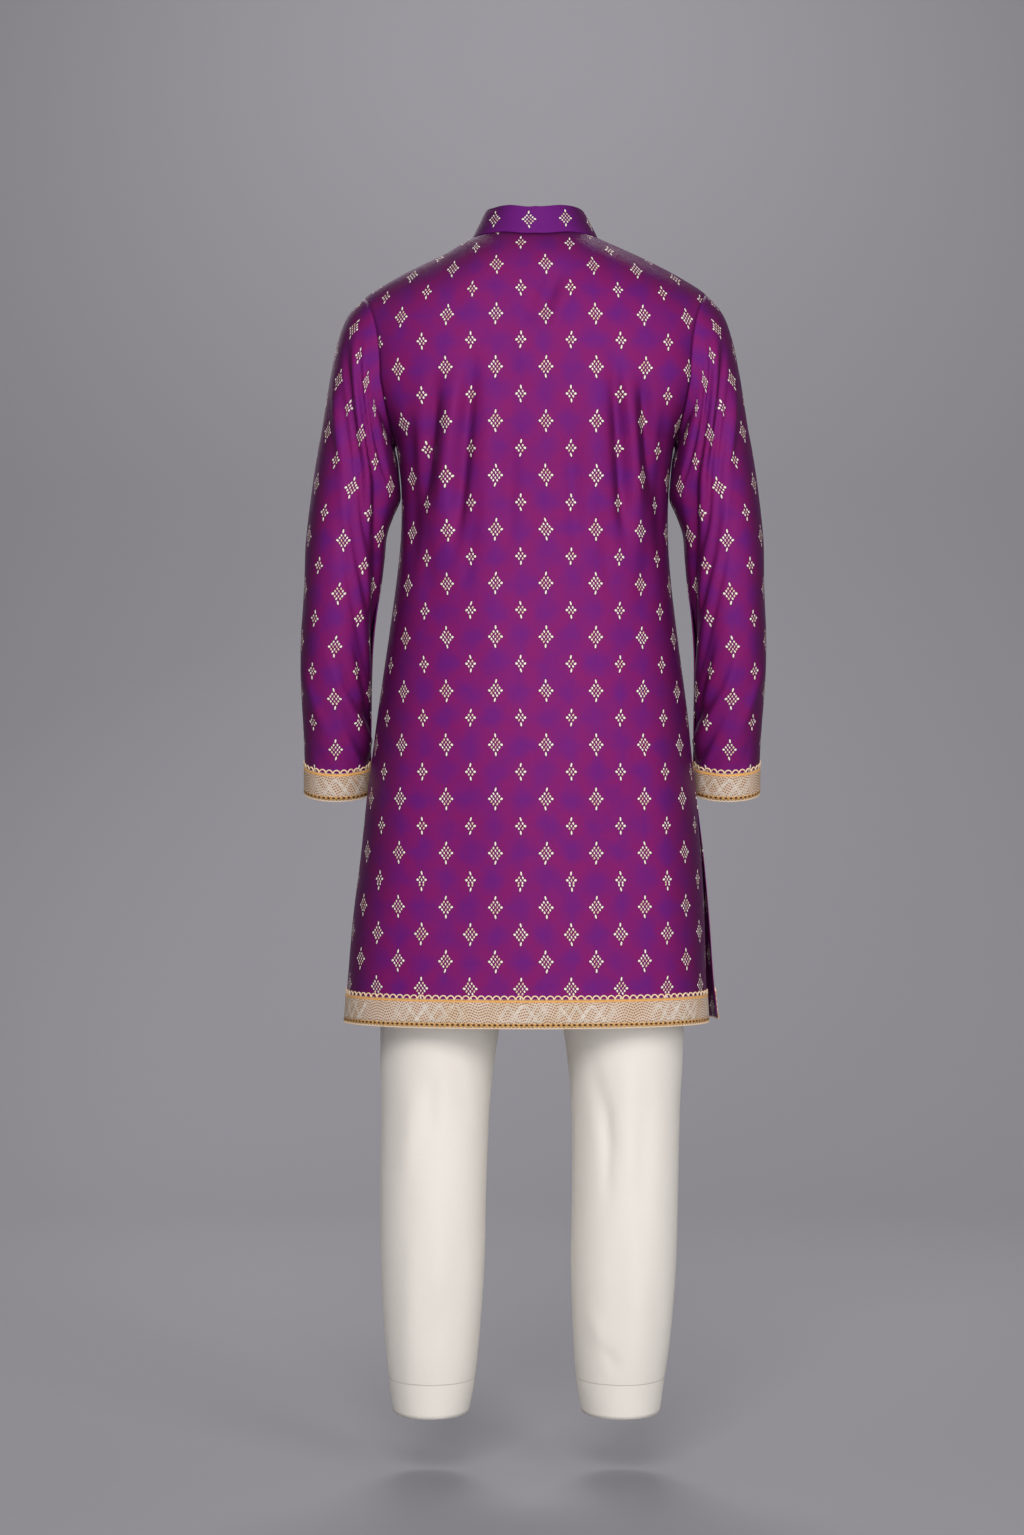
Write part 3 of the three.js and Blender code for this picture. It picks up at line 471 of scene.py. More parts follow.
def butti_group():
    """Woven motifs on a half-drop lattice, in millimetres of cloth. The nearest lattice point of
    (U + V) / 2 and (U - V) / 2 is the motif; inside it the same step on a finer lattice, held to 3 or
    4 drops a side, gives the drop, and its ellipse gives the thread."""
    n, given, out = new_group(
        "butti",
        [("Cloth", "NodeSocketVector", None), ("Column step", "NodeSocketFloat", 31.0),
         ("Row step", "NodeSocketFloat", 34.0), ("All large below", "NodeSocketFloat", -820.0)],
        [("Thread", "NodeSocketFloat"), ("Outline", "NodeSocketFloat"), ("Warmth", "NodeSocketFloat"),
         ("Height", "NodeSocketFloat"), ("Diagonal", "NodeSocketFloat")],
    )
    u, v = n.split(given["Cloth"])
    across = n.over(u, given["Column step"])
    along = n.over(v, given["Row step"])
    a = n.math("ROUND", n.times(n.plus(across, along), 0.5))
    b = n.math("ROUND", n.times(n.minus(across, along), 0.5))
    column = n.plus(a, b)
    row = n.minus(a, b)
    x = n.minus(u, n.times(column, given["Column step"]))
    y = n.minus(v, n.times(row, given["Row step"]))
    odd = n.times(n.math("FRACT", n.plus(n.times(column, 0.5), 100.0)), 2.0)
    low = n.math("LESS_THAN", v, given["All large below"])
    large = n.larger(n.math("LESS_THAN", odd, 0.5), low)
    most = n.times_plus(large, 0.5, 1.0)
    half = n.times(large, 0.5)
    seed = n.add("ShaderNodeTexWhiteNoise", noise_dimensions="2D")
    n.fill(seed.inputs["Vector"], n.join(column, row))
    lean = n.times(n.minus(seed.outputs["Value"], 0.5), 0.16)
    x = n.plus(x, n.times(y, lean))
    drop_across, drop_up = 2.35, 3.15
    p = n.over(x, drop_across)
    q = n.over(y, drop_up)
    drop = []
    for turned in (n.plus(p, q), n.minus(p, q)):
        own = n.times(turned, 0.5)
        near = n.plus(n.math("ROUND", n.minus(own, half)), half)
        held = n.larger(n.math("MINIMUM", near, most), n.times(most, -1.0))
        drop.append((own, held))
    (own_a, near_a), (own_b, near_b) = drop
    rest_a = n.minus(own_a, near_a)
    rest_b = n.minus(own_b, near_b)
    dx = n.times(n.plus(rest_a, rest_b), drop_across)
    dy = n.times(n.minus(rest_a, rest_b), drop_up)
    double = n.times(most, 1.9)
    off = n.math("SIGN", n.minus(near_a, near_b))
    tip = n.math("GREATER_THAN", n.size(n.minus(near_a, near_b)), double)
    side = n.math("GREATER_THAN", n.size(n.plus(near_a, near_b)), double)
    dy = n.minus(dy, n.times(n.times(off, tip), 2.0))
    beside = n.math("SIGN", n.plus(near_a, near_b))
    dx = n.minus(dx, n.times(n.times(beside, side), 0.35))
    drop_seed = n.add("ShaderNodeTexWhiteNoise", noise_dimensions="3D")
    n.fill(drop_seed.inputs["Vector"], n.join(n.times_plus(column, 17.0, near_a),
                                              n.times_plus(row, 13.0, near_b)))
    twist = n.times(n.minus(drop_seed.outputs["Value"], 0.5), 0.55)
    dx = n.plus(dx, n.times(dy, twist))
    outer = n.math("GREATER_THAN", n.larger(n.size(near_a), n.size(near_b)),
                   n.times(most, 0.95))
    wide = n.plus(n.times_plus(side, 0.55, 0.86), n.times(outer, 0.26))
    tall = n.plus(n.times_plus(side, -0.1, 1.62), n.times(tip, 1.0))
    far = n.math("SQRT", n.plus(n.power(n.over(dx, wide), 2.0),
                                n.power(n.over(dy, tall), 2.0)))
    thread = n.ramp(far, 1.08, 0.86)
    n.fill(out["Thread"], thread)
    n.fill(out["Outline"], n.minus(n.ramp(far, 1.9, 1.1), thread, clamp=True))
    inner = n.minus(1.0, n.larger(tip, side))
    n.fill(out["Warmth"], n.times(inner, n.ramp(drop_seed.outputs["Value"], 0.25, 0.8)))
    ply = n.math("SINE", n.times(dy, 9.0))
    dome = n.math("SQRT", n.larger(n.minus(1.0, n.power(far, 2.0)), 0.0))
    n.fill(out["Height"], n.times(dome, n.times_plus(ply, 0.12, 0.88)))
    rising = n.math("COSINE", n.times(n.plus(across, along), pi))
    falling = n.math("COSINE", n.times(n.minus(across, along), pi))
    either = n.times(n.size(n.minus(rising, falling)), 0.36)
    n.fill(out["Diagonal"], n.times_plus(n.plus(rising, falling), 0.5, either))
    return n.tree


def weave_group():
    """Twill: fine slanted ribs, with slubs, as a height and as a faint change of brightness."""
    n, given, out = new_group(
        "weave",
        [("Cloth", "NodeSocketVector", None), ("Rib", "NodeSocketFloat", 0.8)],
        [("Height", "NodeSocketFloat"), ("Slub", "NodeSocketFloat")],
    )
    u, v = n.split(given["Cloth"])
    slant = n.over(n.times_plus(v, 0.8, u), given["Rib"])
    rib = n.math("SINE", n.times(slant, 2 * pi))
    cross = n.math("SINE", n.times(n.over(v, given["Rib"]), 4 * pi))
    n.fill(out["Height"], n.times_plus(cross, 0.3, n.times(rib, 0.5)))
    stretched = n.join(n.times(u, 0.05), n.times(v, 1.2))
    slub = n.noise(stretched, 1.0, 3.0)
    upright = n.noise(n.join(n.times(u, 1.1), n.times(v, 0.04)), 1.0, 3.0)
    n.fill(out["Slub"], n.times_plus(slub, 0.5, n.times(upright, 0.5)))
    return n.tree


butti = butti_group()
weave = weave_group()


def group_node(n, tree, **inputs):
    """Places a group in a material with its own values."""
    node = n.add("ShaderNodeGroup", node_tree=tree)
    for name, value in inputs.items():
        n.fill(node.inputs[name.replace("_", " ")], value)
    return node.outputs


def cloth_place(n):
    """The cloth map in millimetres."""
    uv = n.add("ShaderNodeUVMap", uv_map="cloth").outputs[0]
    scale = n.add("ShaderNodeVectorMath", operation="SCALE")
    n.fill(scale.inputs[0], uv)
    scale.inputs["Scale"].default_value = 1000.0
    return scale.outputs[0]


def new_cloth_material(name, roughness, sheen, sheen_tint):
    """A Principled material for cloth, with its constant sockets set on the shader itself."""
    material = bpy.data.materials.new(name)
    material.use_nodes = True
    n = Nodes(material.node_tree)
    shader = material.node_tree.nodes["Principled BSDF"]
    shader.inputs["Roughness"].default_value = roughness
    shader.inputs["Sheen Weight"].default_value = sheen
    shader.inputs["Sheen Roughness"].default_value = 0.4
    shader.inputs["Sheen Tint"].default_value = (*sheen_tint, 1)
    shader.inputs["Specular IOR Level"].default_value = 0.22
    return material, n, shader


def bump(n, shader, height, distance, strength=1.0):
    """Raises the surface by a height in units of distance."""
    node = n.add("ShaderNodeBump")
    node.inputs["Strength"].default_value = strength
    node.inputs["Distance"].default_value = distance
    n.fill(node.inputs["Height"], height)
    n.fill(shader.inputs["Normal"], node.outputs[0])


def silk_material(name, column_step, row_step, all_large_below, violet_lean):
    """Purple shot silk with its woven motifs. It carries painted shade: it darkens towards a near black
    purple where it turns away from the eye. violet_lean says how far the ground leans from magenta to
    violet."""
    magenta, violet, slub_and_painted_shade_purple = (0.190, 0.009, 0.108, 1), (0.118, 0.010, 0.155, 1), (0.05, 0.003, 0.035, 1)
    cream, gilt = (0.90, 0.80, 0.70, 1), (0.66, 0.40, 0.24, 1)
    material, n, shader = new_cloth_material(name, 0.46, 0.03, (0.8, 0.2, 0.8))
    shader.inputs["Specular Tint"].default_value = (0.9, 0.22, 0.85, 1)
    cloth = cloth_place(n)
    motif = group_node(n, butti, Cloth=cloth, Column_step=column_step, Row_step=row_step,
                       All_large_below=all_large_below)
    ground = group_node(n, weave, Cloth=cloth, Rib=0.9)
    drift = n.noise(cloth, 0.035, 4.0)
    soft = n.times_plus(n.minus(drift, 0.5), 5.5, motif["Diagonal"])
    shot = n.mix(n.ramp(soft, violet_lean - 1.9, violet_lean + 1.7), violet, magenta)
    # Painted shade: the ground is mixed towards a near black purple as the surface turns away from the eye
    # (facing 0.02 to 0.62, up to 0.82 of the way). Where it is stronger, the slub mixes in the cloth's own
    # darker threads instead.
    turned = n.add("ShaderNodeLayerWeight").outputs["Facing"]
    dark = n.times_plus(ground["Slub"], 0.4, -0.08, clamp=True)
    dark = n.larger(dark, n.ramp(turned, 0.02, 0.62, 0.0, 0.82))
    shot = n.mix(dark, shot, slub_and_painted_shade_purple)
    edged = n.mix(n.times(motif["Outline"], 0.6), shot, (0.03, 0.004, 0.03, 1))
    floss = n.mix(n.times(motif["Warmth"], 0.65), cream, gilt)
    n.fill(shader.inputs["Base Color"], n.mix(motif["Thread"], edged, floss))
    n.fill(shader.inputs["Roughness"], n.ramp(motif["Thread"], 0.0, 1.0, 0.44, 0.36))
    height = n.times_plus(ground["Height"], 0.07, motif["Height"])
    bump(n, shader, height, 0.0007)
    return material


silk = silk_material("silk", column_step, row_step, all_large_below=-835.0, violet_lean=0.0)
for face, piece in body_pieces.items():
    piece.data.materials.append(silk)
    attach(piece, "root")
    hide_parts(f"kurta_{face}")


# Sleeves.
# Each is one piece of the same silk, set into the armhole and sewn under the arm, bent a little
# forward at the elbow, where it creases, and drawn into slanting folds at the armhole.
sleeve_rings = {
    "out_x": [216, 237, 249, 257, 264, 271, 278, 284, 289, 292, 294, 296, 296, 294, 293, 293.5],
    "out_z": [-71, -96, -129, -166, -206, -248, -292, -336, -380, -424, -470, -518, -566, -614, -663, -697],
    "in_x": [176, 179.2, 174.4, 172.4, 170.9, 170.9, 179.5, 187.5, 190.5, 194.5, 200.5, 205, 207, 208,
             209, 209.5],
    "in_z": [-258, -268, -281, -296, -313, -330, -350, -374, -404, -438, -476, -519, -566, -614, -663, -697],
    "y": [-2, -1, 0, 0, 0, 0, 1, 2, 3, 4, 3, -1, -9, -20, -33, -42],
    "back": [68, 69, 70, 70, 69, 68, 66, 64, 62, 60, 57, 54, 51, 48, 45, 44],
    "front": [71, 70, 69, 68, 67, 66, 64, 62, 60, 58, 55, 52, 49, 46, 44, 43],
    "tilt": [0, 0, 0, 0, 0, 0, 0, 1, 2, 4, 7, 10, 13, 15, 15, 15],
}
ring_steps = 6
ease_rings = 4
clear_of_body_ring = 6
right_wrist_inward = 7
# Folds on the unrolled sleeve, from the middle of its back: (across, down) to (across, down), width
# and lift, in millimetres. Across runs towards the underarm.
sleeve_folds = [
    (-62, 60, 42, 190, 8, -6.2), (-40, 28, 52, 140, 6, -5.6), (-74, 112, 20, 236, 9, 4),
    (-20, 20, 66, 96, 5, -4.6), (-52, 44, 46, 164, 5, 3.4), (-56, 96, 34, 224, 6, -4),
    (-30, 175, 56, 255, 8, -4.2),
    (30, 60, 84, 300, 15, -7), (-8, 240, 64, 330, 9, -3.6), (20, 300, 78, 390, 10, -4),
    (-10, 395, 78, 350, 7, -5), (6, 440, 84, 404, 7, -5.2), (-4, 418, 80, 378, 7, 3.8),
    (8, 463, 82, 430, 6, 3),
    (10, 486, 80, 456, 8, -3.8), (-62, 470, -8, 520, 14, 2.4), (-150, 60, -96, 190, 9, -4),
    (-168, 120, -110, 240, 12, 2.2), (-36, 560, 40, 590, 14, -1.6), (-96, 330, -60, 430, 16, -1.6),
]


def armhole_loop(column):
    """The armhole's points from the shoulder down the back to the underarm and up the front."""
    first = (len(body_heights) - 1) * steps
    down = body_armholes["back"][first:, column][::-1]
    up = body_armholes["front"][first + 1:-1, column]
    return np.concatenate([down, up])


def sleeve_points(side):
    """Rings of half ellipses: centre + half the way out * cos(a) + depth * sin(a), leaning forward
    by the tilt. The first rings ease into the armhole's own curve."""
    loop = armhole_loop(-1 if side > 0 else 0)
    ring = np.arange(0, 15 + 1e-6, 1 / ring_steps)
    row = {k: curve(np.arange(16), v, ring)[:, None] for k, v in sleeve_rings.items()}
    turn = (np.arange(len(loop)) / len(loop))[None]

    def ellipse(row, turn):
        angle = 2 * pi * turn
        depth = np.where(np.sin(angle) > 0, row["back"], row["front"]) * np.sin(angle)
        lean = np.radians(row["tilt"])
        x = side * ((row["out_x"] + row["in_x"]) / 2 + np.cos(angle) * (row["out_x"] - row["in_x"]) / 2)
        y = row["y"] + depth * np.cos(lean)
        middle_z = (row["out_z"] + row["in_z"]) / 2
        z = middle_z + np.cos(angle) * (row["out_z"] - row["in_z"]) / 2 - depth * np.sin(lean)
        return np.stack([x, y, z], axis=-1)

    points = ellipse(row, turn)
    first = points[0]
    if side < 0:
        below = (ring - clear_of_body_ring) / (15 - clear_of_body_ring)
        points[..., 0] += right_wrist_inward * smooth(below)[:, None]
    ease = np.clip(1 - ring / ease_rings, 0, None)[:, None, None] ** 2
    return points + (loop - first) * ease, ring


body_armholes = {face: face_points(face, body_columns, steps) for face in ("back", "front")}
sleeve_sheets = {}
for side, side_name in ((1, "left"), (-1, "right")):
    plain, ring = sleeve_points(side)
    around = plain.shape[1]
    under = around // 2
    closed = np.concatenate([plain[:, under:], plain[:, :under + 1]], axis=1)
    walked = lengths_along(closed, 1)
    back_middle = under + around // 4
    u = walked - walked[:, back_middle][:, None]
    down = lengths_along(closed, 0)
    v = down[-1:] - down
    outward = -side * grid_normals(closed)
    turn_from_under = np.abs(np.linspace(-1, 1, around + 1))
    near_body = np.where(ring[:, None] < 8, smooth((1 - turn_from_under) / 0.28), 1.0)
    fade = smooth(ring / 2)[:, None] * near_body * smooth((15 - ring) / 2)[:, None]
    lift = fold_lift(sleeve_folds, u, down) * fade
    from_edge = np.minimum(np.minimum(walked, walked[:, -1:] - walked), down)
    pressed = closed + outward * (lift - seam_dip(from_edge))[..., None]
    sleeve_sheets[side_name] = (pressed, outward)
    order = slice(None, None, -1) if side > 0 else slice(None)
    piece = grid_mesh(f"sleeve_{side_name}_cloth", pressed[:, order] * mm)
    put_cloth_map(piece, u[:, order], v[:, order])
    thicken(piece, 1.0)
    piece.data.materials.append(silk)
    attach(piece, "root")
    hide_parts(f"sleeve_{side_name}")


# Stand collar.
# A stiffened double band of the silk, 35 mm high, leaning in towards the neck and sewn all round
# the neckline; its two rounded ends meet at the middle of the front.
collar_rise = 35
collar_lean = {"side": 0.775, "depth": 0.86}
collar_rounding = 14
collar_rows = 14
collar_column_step, collar_row_step, collar_motif_shift = 23.5, 50.0, 8
front_columns = np.arange(0.1, neck_column, 0.1)
back_columns = np.arange(neck_column, -neck_column - 0.01, -0.1)
neck_front = face_points("front", front_columns, steps)[-1]
neck_back = face_points("back", back_columns, steps)[-1]
neck_seam = np.concatenate([neck_front, neck_back, neck_front[::-1] * (-1, 1, 1)])
from_end = np.concatenate([front_columns, back_columns * 0 + 9, front_columns[::-1]]) / 2
collar_round = collar_rounding * np.clip(1 - from_end, 0, None) ** 2
up = np.linspace(0, 1, collar_rows + 1)[:, None]
collar_shape = np.stack([
    neck_seam[:, 0] * (1 + (collar_lean["side"] - 1) * up),
    neck_seam[:, 1] * (1 + (collar_lean["depth"] - 1) * up),
    neck_seam[:, 2] + (collar_rise - collar_round) * up,
], axis=-1)
collar_walked = lengths_along(collar_shape, 1)
collar_middle = collar_walked[:, collar_walked.shape[1] // 2][:, None]
collar_u = collar_walked - collar_middle
ripple = 0.5 * np.sin(collar_u / 19 + 0.8) * up + 0.35 * np.sin(collar_u / 7.3) * up**2
stitched = seam_dip(collar_rise * (1 - up) - 2.5, 0.5, 0.8) + seam_dip(collar_rise * up, 0.5, 2.5)
collar_shape = collar_shape + grid_normals(collar_shape) * (ripple - stitched)[..., None]
collar = grid_mesh("collar_band", collar_shape * mm)
collar_v = 1.25 * collar_rise * (up - 0.5) + collar_row_step
collar_u_map = collar_u + collar_motif_shift + collar_column_step
put_cloth_map(collar, collar_u_map, np.broadcast_to(collar_v, collar_u.shape))
thicken(collar, 2.4)
soft_edge = collar.modifiers.new("soft edge", "BEVEL")
soft_edge.width = 0.9 * mm
soft_edge.segments = 2
soft_edge.limit_method = "ANGLE"
soft_edge.angle_limit = radians(50)
collar_silk = silk_material("collar_silk", collar_column_step, collar_row_step, all_large_below=1000.0,
                            violet_lean=2.6)
collar.data.materials.append(collar_silk)
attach(collar, "root")
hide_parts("collar")


# Placket.
# A doubled strip of the silk over the front opening, from the neck to 400 mm down, topstitched
# along both edges; it closes with brass buttons.
placket_half_width = 17
placket_bottom = -400
placket_lift = 1.35
placket_motif_drop = 390
cover_columns = np.linspace(-placket_half_width, placket_half_width, 15)
front_sheet = body_points["front"]
front_normal = grid_normals(front_sheet)
placket_rows = front_sheet[:, len(body_columns) // 2, 2] > placket_bottom
strip = np.empty((placket_rows.sum(), len(cover_columns), 3))
for row, (line, normal) in enumerate(zip(front_sheet[placket_rows], front_normal[placket_rows])):
    over = line + placket_lift * normal
    for axis in range(3):
        strip[row, :, axis] = np.interp(cover_columns, line[:, 0], over[:, axis])
placket = grid_mesh("placket_strip", strip * mm)
placket_v = lengths_along(strip, 0)
placket_u = np.broadcast_to(cover_columns - motif_centre_x, placket_v.shape)
put_cloth_map(placket, placket_u, placket_v - placket_motif_drop)
thicken(placket, 1.0)
placket.data.materials.append(silk)
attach(placket, "root")
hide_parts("placket")


# Buttons.
# Four domed brass buttons with a rolled rim, sewn through the placket.
button_count, button_first_drop, button_spacing = 4, 26, 78
button_profile = [(0, 0), (4.7, 0), (5.2, 0.35), (5.5, 0.9), (5.45, 1.4), (5.1, 1.75), (4.75, 1.65),
                  (4.5, 1.75), (4.1, 2.25), (3.3, 2.65), (2.2, 2.92), (1.0, 3.0), (0, 3.0)]
brass = bpy.data.materials.new("brass")
brass.use_nodes = True
brass_shader = brass.node_tree.nodes["Principled BSDF"]
brass_shader.inputs["Base Color"].default_value = (0.62, 0.40, 0.13, 1)
brass_shader.inputs["Metallic"].default_value = 1
brass_shader.inputs["Roughness"].default_value = 0.28
placket_line = front_sheet[placket_rows][::-1, len(body_columns) // 2]
placket_out = front_normal[placket_rows][::-1, len(body_columns) // 2]
button_lift = 2.55
for number in range(button_count):
    z = placket_line[0, 2] - button_first_drop - number * button_spacing
    at = np.array([np.interp(-z, -placket_line[:, 2], placket_line[:, axis]) for axis in range(3)])
    outward = np.array([np.interp(-z, -placket_line[:, 2], placket_out[:, axis]) for axis in range(3)])
    outward /= np.linalg.norm(outward)
    across = np.array([1.0, 0, 0])
    along = np.cross(outward, across)
    turn = np.linspace(0, 2 * pi, 40, endpoint=False)
    radius, height = np.array(button_profile).T
    ring = np.cos(turn)[None, :, None] * across + np.sin(turn)[None, :, None] * along
    shape = at + radius[:, None, None] * ring + (button_lift + height)[:, None, None] * outward
    button = grid_mesh(f"brass_button_{number + 1}", shape * mm, closed=True)
    button.data.materials.append(brass)
    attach(button, "root")
    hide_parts(f"button_{number + 1}")


# Lace borders.
# A woven gold and taupe lace, 34 mm wide, sewn flat along the hem of each panel and round each
# wrist; a row of small thread loops edges it above, and smaller ones below.
border_lift = 1.45
loop_pitch = 9.5


def lace_group():
    """Pattern of the lace, across u and up v in millimetres: zigzag rows of seeds, leaf strokes, an
    orange line below the upper edge and a golden lower edge with dark dots."""
    n, given, out = new_group(
        "lace",
        [("Cloth", "NodeSocketVector", None)],
        [("Seed", "NodeSocketFloat"), ("Leaf", "NodeSocketFloat"), ("Line", "NodeSocketFloat"),
         ("Edge", "NodeSocketFloat"), ("Dot", "NodeSocketFloat"), ("Height", "NodeSocketFloat")],
    )
    u, v = n.split(given["Cloth"])
    sway = n.times(n.noise(n.join(n.times(u, 0.03), 0.0), 1.0), 9.0)
    wave = n.math("PINGPONG", u, 12.0)
    climb = n.plus(n.times_plus(wave, 0.42, v), sway)
    seed_row, seed_step = 3.4, 3.1
    row = n.math("FLOOR", n.over(climb, seed_row))
    in_row = n.minus(n.math("FRACT", n.over(climb, seed_row)), 0.5)
    step = n.plus(n.over(u, seed_step), n.times(row, 0.5))
    in_step = n.minus(n.math("FRACT", step), 0.5)
    seed_far = n.math("SQRT", n.plus(n.power(n.times(in_row, 2.9), 2.0),
                                     n.power(n.times(in_step, 2.1), 2.0)))
    seed = n.ramp(seed_far, 0.95, 0.55)
    leaf_v = n.minus(v, 16.0)
    strokes = []
    for slant, pitch, offset in ((0.62, 17.0, 0.0), (-0.75, 21.0, 6.0), (0.95, 29.0, 11.0)):
        place = n.plus(n.times_plus(leaf_v, slant, u), n.plus(sway, offset))
        from_line = n.minus(n.math("PINGPONG", place, pitch / 2), 1.2)
        strokes.append(n.ramp(n.size(from_line), 0.85, 0.35))
    within = n.ramp(n.size(leaf_v), 11.5, 9.5)
    some = n.ramp(n.noise(n.join(n.times(u, 0.016), 3.0), 1.0), 0.44, 0.52)
    stroke = n.larger(n.larger(strokes[0], strokes[1]), strokes[2])
    leaf = n.times(n.times(stroke, within), some)
    knots = n.math("SINE", n.times(u, 2.4))
    line_half = n.times_plus(knots, 0.5, 1.3)
    line = n.ramp(n.minus(n.size(n.minus(v, 31.8)), line_half), 0.4, -0.2)
    edge = n.ramp(n.minus(v, n.times(knots, 0.5)), 5.2, 4.2)
    dot_u = n.times(n.minus(n.math("FRACT", n.over(u, 6.5)), 0.5), 4.6)
    dot_far = n.math("SQRT", n.plus(n.power(dot_u, 2.0),
                                    n.power(n.minus(v, 2.6), 2.0)))
    dot = n.ramp(dot_far, 1.6, 1.05)
    for name, mask in (("Seed", seed), ("Leaf", leaf), ("Line", line), ("Edge", edge), ("Dot", dot)):
        n.fill(out[name], mask)
    relief = n.larger(n.larger(n.times(seed, 0.6), leaf), line)
    n.fill(out["Height"], n.minus(relief, n.times(dot, 0.8)))
    return n.tree


lace = lace_group()
lace_material, n, shader = new_cloth_material("lace", 0.55, 0.1, (1, 0.9, 0.75))
cloth = cloth_place(n)
pattern = group_node(n, lace, Cloth=cloth)
fleck = n.noise(cloth, 0.9, 3.0)
broad = n.noise(cloth, 0.022, 2.0)
taupe = n.mix(n.ramp(broad, 0.4, 0.62), (0.56, 0.42, 0.32, 1), (0.46, 0.30, 0.15, 1))
ground = n.mix(n.ramp(fleck, 0.35, 0.65), taupe, (0.68, 0.54, 0.42, 1))
colour = ground
for mask, share, thread in (("Seed", 0.85, (0.20, 0.08, 0.045, 1)), ("Leaf", 0.75, (0.76, 0.69, 0.60, 1)),
                            ("Line", 0.9, (0.72, 0.34, 0.08, 1)), ("Edge", 0.9, (0.74, 0.40, 0.12, 1)),
                            ("Dot", 1.0, (0.10, 0.035, 0.015, 1))):
    colour = n.mix(n.times(pattern[mask], share), colour, thread)
n.fill(shader.inputs["Base Color"], colour)
bump(n, shader, pattern["Height"], 0.0006)

thread_material, n, shader = new_cloth_material("loop_thread", 0.5, 0.1, (1, 0.92, 0.8))
shader.inputs["Base Color"].default_value = (0.84, 0.62, 0.40, 1)


def tubes(name, paths, radius, sides=5):
    """Many tubes as one mesh. paths is (tubes, points, 3); each ring is radius * (cos a * first +
    sin a * second), square to the path."""
    ahead = np.gradient(paths, axis=1)
    ahead /= np.linalg.norm(ahead, axis=-1, keepdims=True)
    flat = np.cross(paths[:, -1] - paths[:, 0], paths[:, paths.shape[1] // 2] - paths[:, 0])
    flat /= np.linalg.norm(flat, axis=-1, keepdims=True)
    first = np.broadcast_to(flat[:, None], paths.shape)
    second = np.cross(ahead, first)
    angle = np.arange(sides) * 2 * pi / sides
    ring = np.cos(angle)[:, None] * first[:, :, None] + np.sin(angle)[:, None] * second[:, :, None]
    points = paths[:, :, None] + radius * ring
    count, length = paths.shape[:2]
    index = np.arange(count * length * sides).reshape(count, length, sides)
    beside = np.roll(index, -1, axis=2)
    quads = np.stack([index[:, :-1], beside[:, :-1], beside[:, 1:], index[:, 1:]], axis=-1).reshape(-1, 4)
    caps = np.concatenate([index[:, 0, ::-1], index[:, -1]]).tolist()
    mesh = bpy.data.meshes.new(name)
    mesh.from_pydata(points.reshape(-1, 3) * mm, [], quads.tolist() + caps)
    mesh.polygons.foreach_set("use_smooth", np.ones(len(mesh.polygons), dtype=bool))
    piece = bpy.data.objects.new(name, mesh)
    bpy.context.collection.objects.link(piece)
    return piece


def loop_paths(edge, upward, outward, pitch, rise, lean):
    """Half rings along an edge: (pitch / 2 * cos a) along it and rise * sin a up from it, one beside
    the next, each leaning outwards a little at its top."""
    walked = np.concatenate([[0], np.cumsum(np.linalg.norm(np.diff(edge, axis=0), axis=1))])
    count = int(round(walked[-1] / pitch))
    own = walked[-1] / count
    angle = np.linspace(0, pi, 9)
    at = (np.arange(count) + 0.5)[:, None] * own - np.cos(angle) * own * 0.47

    def along(values):
        return np.stack([np.interp(at, walked, values[:, axis]) for axis in range(3)], axis=-1)

    high = rise * np.sin(angle)[None, :, None]
    return along(edge) + high * along(upward) + lean * high * along(outward)


def unit(vectors):
    return vectors / np.linalg.norm(vectors, axis=-1, keepdims=True)


def add_border(name, node, sheet, outward, flip):
    """A lace strip lying on the lowest rows of a sheet, with its loops: sheet is the cloth's grid of points
    from the hem or wrist upwards. The length cut from the reel, in metres, is not used."""
    shape = sheet + outward * border_lift
    walked = lengths_along(shape, 1)
    climbed = lengths_along(shape, 0)
    share = climbed / climbed[-1:]
    order = slice(None, None, -1) if flip else slice(None)
    piece = grid_mesh(name, shape[:, order] * mm)
    put_cloth_map(piece, walked[:, order], 34 * share[:, order])
    thicken(piece, 1.0)
    piece.data.materials.append(lace_material)
    top_up = unit(shape[-1] - shape[-2])
    upper = tubes(f"{name}_loops", loop_paths(shape[-1] - 0.8 * top_up, top_up, outward[-1], loop_pitch,
                                               5.0, -0.05), 0.95)
    lower = tubes(f"{name}_lower_loops", loop_paths(shape[0], -unit(shape[1] - shape[0]), outward[0],
                                                    loop_pitch / 2, 1.9, 0.0), 0.6)
    for loops in (upper, lower):
        loops.data.materials.append(thread_material)
    for part in (piece, upper, lower):
        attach(part, "root")
        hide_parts(node)


hem_rows = int(np.argmax(body_points["back"][:, 0, 2] >= body_heights[1])) + 1
for face, flip, length in (("back", True, 0.578), ("front", False, 0.584)):
    outward = grid_normals(body_points[face]) * (-1 if face == "back" else 1)
    add_border(f"hem_lace_{face}", f"hem_border_{face}", body_points[face][:hem_rows], outward[:hem_rows],
               flip)
for side_name, (pressed, outward) in sleeve_sheets.items():
    wrist = slice(None, -ring_steps - 2, -1)
    add_border(f"cuff_lace_{side_name}", f"cuff_border_{side_name}", pressed[wrist], outward[wrist],
               side_name == "right")


